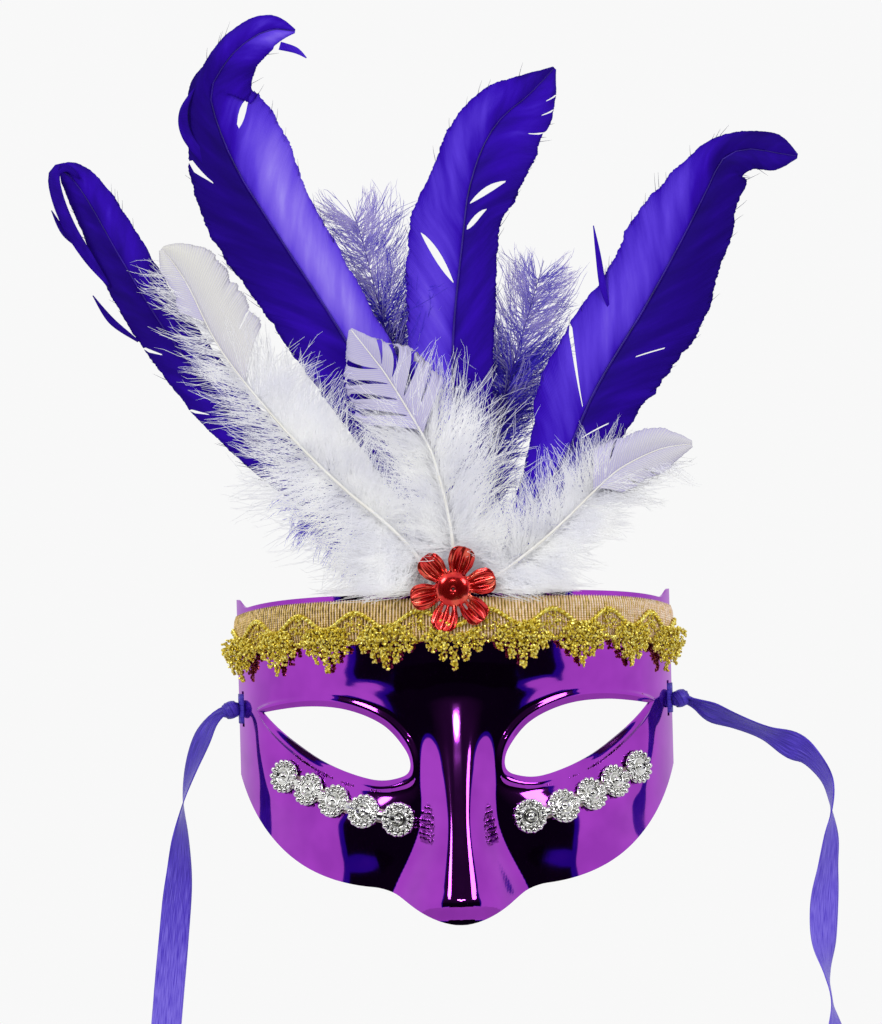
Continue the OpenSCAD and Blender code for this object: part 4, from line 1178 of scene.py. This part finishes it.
def loose_blade(bm, stations):
    """A sliver of vane that has come away: stations of across, back, up, half width and tone."""
    blade = Route(stations)

    def place(u, v):
        mm = v * blade.length
        ahead = blade.heading(mm)
        aside = Vector((ahead.z, 0, -ahead.x)).normalized()
        return ROOT + blade.place(mm) + aside * (2 * u - 1) * blade.at(mm)[3]

    faces = formed_sheet(bm, 3, 24, place, (1.0, blade.length))
    tone = bm.verts.layers.float.get("tone")
    for face in faces:
        for corner in face.verts:
            corner[tone] = stations[0][4]
    return faces


def violet_feather(name, route, node, begin, splits_left, splits_right, extra=(), wisps=None):
    """A dyed feather: two half vanes, a shaft, frayed edges, any loose blades, down at its foot and wisps."""
    bm = bmesh.new()
    bm.verts.layers.float.new("tone")
    vanes = []
    for side, splits in ((-1, splits_left), (1, splits_right)):
        vanes += half_vane(bm, route, side, begin, splits, VIOLET_LEAN, fray=0.05, rows=400)
    for stations in extra:
        vanes += loose_blade(bm, stations)
    thicken(bm, vanes, VANE_T)
    rough = random.Random(len(name))
    frayed = []
    for _ in range(46):
        mm, side = rough.uniform(begin + 20, route.length - 12), rough.choice(BOTH)
        centre, ahead, aside, front, q = shaft_frame(route, mm)
        edge = centre + aside * side * q[VANE[side]] * 0.96
        heading = aside * side * 0.6 + ahead
        frayed.append(hair(edge, heading, rough.uniform(2, 7), FRAY_R, ahead * 0.3, rough, 4))
    strands(bm, frayed)
    strands(bm, [shaft_run(route)], material=1, roundness=1)
    strands(bm, down(route, 18, begin + 14, BOTH, 1.6, rough, size=1.5, fluff=3, lean=(0.0, 1.0),
                     shortest=11, count=6), material=2)
    if wisps:
        strands(bm, down(route, *wisps, LEFT_ONLY, 0.7, rough, size=1.0, fluff=3, lean=(-0.4, 0.5),
                         shortest=25, count=7, curl=(-0.6, 0.4)), material=2)
    finish_piece(name, bm, [violet_vane, violet_shaft, violet_down], [node])


# %% Build the violet feathers, with splits as length along the shaft, start, end and gap
violet_feather(
    "feather_far_left", far_left, "purple_feather_far_left", 44, [(140, .55, 1, 2.5), (112, .6, 1, 2)], [],
    extra=[[(-139, 15, 167, .4, .3), (-144, 14, 171.5, 1.6, .3), (-148.5, 13, 169, 2.2, .26),
            (-147.5, 12, 160, 2.4, .22), (-143, 12, 148, 2.4, .22), (-136, 13, 136, 2, .22),
            (-129, 14, 126, .6, .22)],
           [(-136, 14, 138, .5, .24), (-145, 14, 146, 1.2, .24), (-150, 13, 155, .2, .24)],
           [(-118, 13, 104, .5, .24), (-128, 13, 112, 1.3, .24), (-135, 13, 122, .2, .24)]],
    wisps=(34, 74))
violet_feather(
    "feather_left", left_tall, "purple_feather_left", 36, [(176, .62, 1, 6)], [(198, .3, .72, 5)],
    extra=[[(-89, 0, 170, 1.5, .3), (-96.5, -1, 181, 2.0, .3), (-97.5, -2, 190, 1.6, .34),
            (-93, -2, 199, .2, .34)],
           [(-60, -11, 213, 1.6, .5), (-54, -12, 211, 1.2, .5), (-50, -12, 208, .2, .5)]])
violet_feather(
    "feather_centre", centre_tall, "purple_feather_centre", 30, [(129, .1, .75, 5)],
    [(160, .08, .66, 4.2), (151, .05, .5, 3.6), (186, .7, 1, 1.2), (196, .65, 1, 1.5), (204, .6, 1, 1.5)])
violet_feather(
    "feather_right", right_tall, "purple_feather_right", 34, [(92, .12, 1, 2.6)],
    [(62, .1, .7, .3), (80, .15, .6, .3), (112, .3, .7, .2)],
    extra=[[(62, 3, 112, .5, .42), (60, 2.5, 120, 1.3, .42), (58.5, 2, 132, 1.0, .42),
            (57, 1.5, 143, .2, .4)]])

# %% [markdown]
# ## White feathers and down
# In front stand three white feathers: short firm vanes near the tip, and long curling down lower, which fills
# the middle of the fan like a cloud. The vanes are thin enough to take a lilac cast from the violet behind,
# and that light is painted into their colour through the tone. Each downy barb bends its own way and
# carries short fluff.

# %% White vane material
# Thin barbs part in bundles, which show as lines about a millimetre apart.
white_vane, tree, shader = start_material("white_thin_feather_vane")
flat = add_node(tree, "ShaderNodeUVMap", uv_map="UVMap").outputs["UV"]
tone = add_node(tree, "ShaderNodeAttribute", attribute_name="tone")
barbs = add_node(tree, "ShaderNodeTexWave",
                 {"Vector": flat, "Scale": bands(1.0472), "Distortion": 1.2, "Detail": 2.0},
                 bands_direction="Y")
lines = add_node(tree, "ShaderNodeMath", {0: barbs.outputs["Fac"], 1: 0.22, 2: -0.1},
                 operation="MULTIPLY_ADD")
shade = add_node(tree, "ShaderNodeMath", {0: lines.outputs["Value"], 1: tone.outputs["Fac"]},
                 operation="ADD")
# Painted light: the tone paints the lilac cast from the violet behind, running from lilac to white.
cast = add_node(tree, "ShaderNodeValToRGB", {"Fac": shade.outputs["Value"]},
                [(0.0, "9a90d2"), (0.35, "bdb6e2"), (0.7, "d8d6dc"), (1.0, "e4e3da")])
bump = add_node(tree, "ShaderNodeBump",
                {"Height": barbs.outputs["Fac"], "Strength": 0.35, "Distance": 0.0003})
fill(shader, {"Base Color": cast.outputs["Color"], "Normal": bump.outputs["Normal"], "Roughness": 0.6,
              "Sheen Weight": 0.2})
print("material", white_vane.name)

# %% White down and shaft materials
white_down, tree, shader = start_material("white_marabou_down")
hue = clouded(tree, 14.29, 3.0, [(0.3, "f4f4f8"), (0.65, "fefefe")])[0]
let_light_through(tree, shader, hue, 0.97)
fill(shader, {"Roughness": 0.85, "Sheen Weight": 0.3})

white_shaft, tree, shader = start_material("white_quill")
hue = clouded(tree, 10.0, 2.0, [(0.3, "ece9e0"), (0.7, "fbfaf6")])[0]
fill(shader, {"Base Color": hue, "Roughness": 0.35})
print("materials", white_down.name, white_shaft.name)

# %% Stations of the white feathers
white_left = Route([
    (-7, ROW_FRONT, -8, 0, 0, .8, .8), (-7, ROW_FRONT, 0, 0, 0, .8, .8), (-8.5, 1.7, 9, 0, 0, .8, .8),
    (-14, -1.3, 20, 7, 6, .8, .8), (-25, -2.4, 32, 17, 13, .8, .8), (-41, -2.4, 46, 24, 18, .8, .8),
    (-62, -1.5, 68, 21, 21, .6, .75), (-85, 1, 98, 14, 20, .5, .8), (-97.5, 3, 123.5, 7, 17, .6, .85),
    (-103.5, 4, 133.5, 6.5, 12, .8, .9), (-108, 5, 139, 1, 1, .8, .9)])
white_centre = Route([
    (0, ROW_FRONT, -8, 0, 0, .6, .6), (0, ROW_FRONT, 0, 0, 0, .6, .6), (.5, 1.5, 8, 0, 0, .6, .6),
    (.5, -4.4, 22, 11, 14, .6, .7), (-1.5, -5, 37, 18, 24, .6, .7), (-4.5, -5, 50, 20, 26, .5, .6),
    (-8.5, -5.2, 62, 22, 24, .5, .5), (-22, -6, 86, 21, 20, .45, .45), (-29, -7, 96, 15, 9, .4, .4),
    (-36.5, -8, 106, .5, .5, .4, .4)])
white_right = Route([
    (7, ROW_FRONT, -8, 0, 0, .7, .7), (7, ROW_FRONT, 0, 0, 0, .7, .7), (12, 1.8, 8, 0, 0, .7, .7),
    (20, .7, 13, 9, 4, .7, .7), (29, .2, 19.5, 16, 12, .7, .7), (36, .2, 25, 18, 14, .7, .7),
    (44, 0, 32, 17, 8, .6, .7), (59, -1, 46, 13, 8, .5, .6), (67.5, -2, 52, 11, 9, .55, .6),
    (80.5, -3, 57.5, 8, 8, .65, .65), (92.5, -4, 59, 1, 1, .7, .7)])
for name, route in [("left", white_left), ("centre", white_centre), ("right", white_right)]:
    print("white", name, "feather", round(route.length), "mm long")


# %% Build the white feathers
WHITE_LEAN = 0.9


def white_feather(name, route, node, vane_from, share, splits):
    """A shaft with firm half vanes from a length along it upwards."""
    bm = bmesh.new()
    bm.verts.layers.float.new("tone")
    vanes = []
    for side in BOTH:
        vanes += half_vane(bm, route, side, vane_from[side], splits[side], WHITE_LEAN, fray=0.09, rows=200,
                           share=share)
    thicken(bm, vanes, VANE_T)
    strands(bm, [shaft_run(route)], material=1, roundness=1)
    finish_piece(name, bm, [white_vane, white_shaft], [node])


white_feather("white_left", white_left, "white_feather_left", {-1: 150, 1: 122}, 0.9,
              {-1: [], 1: [(132, .55, 1, 1.5)]})
white_feather("white_centre", white_centre, "white_feather_centre", {-1: 78, 1: 76}, 0.8,
              {-1: [(84, .06, 1, 4.5), (91, .06, 1, 5), (98, .06, 1, 5), (105, .1, 1, 4)],
               1: [(82, .3, 1, 3), (91, .06, 1, 6), (99, .06, 1, 5), (106, .1, 1, 4)]})
white_feather("white_right", white_right, "white_feather_right", {-1: 72, 1: 74}, 1.0,
              {-1: [(80, .3, 1, 1.5)], 1: [(82, .5, 1, 1.5), (90, .5, 1, 1)]})


# %% Build their down: a cloud along each shaft, and skirts that fall over the braid
def white_cloud(name, route, node, layers, seed, curl=(0.1, 1.3)):
    """The down of a white feather in layers: from, to, sides, pitch, size, lean, barbs to a tuft."""
    rough = random.Random(seed)
    bm = bmesh.new()
    for begin, end, sides, pitch, size, lean, count in layers:
        strands(bm, down(route, begin, end, sides, pitch, rough, size, fluff=3, lean=lean, shortest=15,
                         count=count, curl=curl))
    finish_piece(name, bm, [white_down], [node])


white_cloud("white_left_down", white_left, "white_feather_left",
            [(10, 36, BOTH, 0.85, 2.4, (-0.7, 0.5), 13), (30, 84, BOTH, 1.15, 1.9, (0.0, 1.2), 12),
             (80, 124, BOTH, 2.1, 1.65, (0.4, 1.3), 10), (120, 168, LEFT_ONLY, 2.0, 1.8, (0.5, 1.0), 7)], 5)
white_cloud("white_centre_down", white_centre, "white_feather_centre",
            [(10, 36, BOTH, 0.75, 2.3, (-0.5, 0.9), 13), (30, 74, BOTH, 0.8, 1.75, (0.2, 1.3), 13),
             (70, 94, BOTH, 2.2, 1.3, (0.4, 1.2), 8)], 6)
white_cloud("white_right_down", white_right, "white_feather_right",
            [(10, 36, BOTH, 0.75, 2.3, (-0.7, 0.6), 13), (30, 80, BOTH, 0.95, 1.8, (0.1, 1.1), 12),
             (76, 100, RIGHT_ONLY, 1.8, 1.5, (0.3, 0.9), 9)], 7)
white_cloud("white_left_skirt", white_left, "white_feather_left",
            [(12, 34, LEFT_ONLY, 0.36, 2.9, (0.0, 0.8), 14), (24, 50, LEFT_ONLY, 0.6, 2.2, (-0.7, 0.3), 13),
             (42, 116, RIGHT_ONLY, 1.2, 1.75, (0.0, 0.7), 9)], 8, (-0.6, 0.4))
white_cloud("white_right_skirt", white_right, "white_feather_right",
            [(12, 32, RIGHT_ONLY, 0.45, 2.3, (0.2, 0.9), 14), (12, 30, LEFT_ONLY, 0.6, 1.6, (-0.8, 0.6), 12)],
            9, (-0.4, 0.5))

# %% [markdown]
# ## Lilac down behind
# Two dyed marabou plumes stand behind the tall feathers and show as grey-lilac haze between them. They
# are all down: long loose barbs without a vane, some pale and some still violet, so two batches of
# strands with different finishes share a shaft.

# %% Lilac down material
lilac_down, tree, shader = start_material("pale_lilac_marabou_down")
hue = clouded(tree, 11.11, 3.0, [(0.35, "7c68de"), (0.62, "d2caee")])[0]
let_light_through(tree, shader, hue, 0.9)
fill(shader, {"Roughness": 0.85, "Sheen Weight": 0.3})
print("material", lilac_down.name)

# %% Two plumes
lilac_left = Route([
    (-4, ROW_BACK, -8, 0, 0), (-4, ROW_BACK, 0, 0, 0), (-5, 9, 14, 0, 0), (-7.5, 12.4, 48, 8, 8),
    (-18, 12.6, 86, 14, 13), (-26.5, 13, 120, 16, 15), (-32, 13.5, 143.5, 12, 12), (-37, 14, 157, 2, 2)])
lilac_right = Route([
    (4, ROW_BACK, -8, 0, 0), (4, ROW_BACK, 0, 0, 0), (6, 10, 14, 0, 0), (13, 14.8, 47, 8, 8),
    (23.5, 15, 85, 13, 14), (32, 15.5, 111.5, 13, 14), (38.5, 16, 132, 2, 2)])
for word, route, seed, pitch in [("left", lilac_left, 21, 1.4), ("right", lilac_right, 22, 0.75)]:
    rough = random.Random(seed)
    bm = bmesh.new()
    strands(bm, down(route, 74, route.length - 8, BOTH, 1.4, rough, size=2.1, fluff=4, lean=(0.2, 1.3),
                     shortest=9, count=7, stray=0.24))
    strands(bm, down(route, 36, route.length - 42, BOTH, pitch, rough, size=2.1, fluff=3, lean=(0.1, 1.3),
                     shortest=9, count=8, stray=0.24), material=1)
    strands(bm, [[(p, r * 0.5) for p, r in shaft_run(route)]], material=2, roundness=1)
    finish_piece("lilac_plume_" + word, bm, [lilac_down, violet_down, violet_shaft],
                 ["lilac_down_" + word])

# %% [markdown]
# ## Studio
# The mask was shot on white with soft light from all sides and a dark camera side, which its mirror
# front shows as black on the nose, the brow and under the eyes. The world is the white backdrop, dark
# cards stand beside the camera for the mirror to find, two soft lamps shape the feathers, and a small
# one puts a glint on the nose. A pale disc lies under the hanging ribbons.

# %% White surroundings
world = bpy.data.worlds.new("white_studio")
scene.world = world
world.use_nodes = True
tree = world.node_tree
rays = add_node(tree, "ShaderNodeLightPath")
seen = add_node(tree, "ShaderNodeMath",
                {0: rays.outputs["Is Camera Ray"], 1: rays.outputs["Is Glossy Ray"]}, operation="MAXIMUM")
bright = add_node(tree, "ShaderNodeMath",
                  {0: seen.outputs["Value"], 1: rays.outputs["Is Transmission Ray"]}, operation="MAXIMUM")
level = add_node(tree, "ShaderNodeMapRange",
                 {"Value": bright.outputs["Value"], "To Min": 0.5, "To Max": 0.94})
fill(tree.nodes["Background"], {"Color": (1, 1, 1, 1), "Strength": level.outputs["Result"]})
print("world", world.name)


# %% A pale floor
def stage_sheet(name, bm, code):
    """A sheet of plain studio board, with its node tree and shader."""
    material, tree, shader = start_material(name)
    fill(shader, {"Base Color": colour(code), "Roughness": 0.9, "Specular IOR Level": 0.0})
    mesh = bpy.data.meshes.new(name)
    bm.to_mesh(mesh)
    bm.free()
    mesh.materials.append(material)
    sheet = bpy.data.objects.new(name, mesh)
    scene.collection.objects.link(sheet)
    sheet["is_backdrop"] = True
    return sheet, tree, shader


bm = bmesh.new()
under_ribbons = Matrix.Translation((0, 0.3, -0.285))
bmesh.ops.create_circle(bm, cap_ends=True, segments=96, radius=0.75, matrix=under_ribbons)
stage_sheet("pale_floor", bm, "f4f4f2")


# %% Dark cards for the mirror
def mirror_card(name, foot, head, radius, half_turn, low, high):
    """A card bent round the camera side that only mirrors see, shaded from its foot to its head."""
    start, step = math.radians(-90 - half_turn), math.radians(2 * half_turn)
    bm = bmesh.new()
    heights = [radius * math.tan(math.radians(tilt)) for tilt in (low, high)]
    ends = [bm.verts.new((radius * math.cos(start), radius * math.sin(start), z)) for z in heights]
    upright = bm.edges.new(ends)
    bmesh.ops.spin(bm, geom=ends + [upright], cent=(0, 0, 0), axis=(0, 0, 1), angle=step, steps=32)
    card, tree, shader = stage_sheet(name, bm, foot)
    spot = add_node(tree, "ShaderNodeTexCoord")
    ways = add_node(tree, "ShaderNodeSeparateXYZ", {"Vector": spot.outputs["Object"]})
    ramp = add_node(tree, "ShaderNodeValToRGB", {"Fac": ways.outputs["Z"]}, [(0.1, foot), (0.6, head)])
    fill(shader, {"Base Color": ramp.outputs["Color"]})
    card.visible_camera = card.visible_shadow = card.visible_diffuse = False
    print(name, "from", low, "to", high, "degrees up")


mirror_card("dark_side", "1c1a20", "4a444c", 1.75, 60, -20.5, 36)
mirror_card("dark_middle", "141216", "141216", 1.74, 38, -36, -18)
# A violet card that only mirrors see: a painted reflection that edges the dark reflections in blue-violet.
mirror_card("painted_violet_reflection", "4a2ad0", "4a2ad0", 1.82, 64, -23, 39)


# %% Soft lamps
def soft_lamp(name, place, aim, size, watts):
    """A round soft lamp aimed at a place, in metres."""
    lamp = bpy.data.lights.new(name, "AREA")
    lamp.shape, lamp.size, lamp.energy = "DISK", size, watts
    holder = bpy.data.objects.new(name, lamp)
    towards = (Vector(aim) - Vector(place)).to_track_quat("-Z", "Y").to_matrix().to_4x4()
    holder.matrix_world = Matrix.Translation(place) @ towards
    scene.collection.objects.link(holder)
    print(name, watts, "W")


soft_lamp("lamp_left", (-0.9, -1.1, 0.9), (0, 0, 0.1), 0.5, 9)
soft_lamp("lamp_right", (1.0, -1.0, 0.7), (0, 0, 0.1), 0.5, 6)
soft_lamp("lamp_nose", (0.0, -1.2, 0.45), (0, 0, 0.0), 0.05, 0.35)

# %% Measure and finish
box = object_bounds()
for name, corners in [("solid box", cad_box), ("dressed box", box)]:
    print(name, [[round(x, 4) for x in corner] for corner in corners])
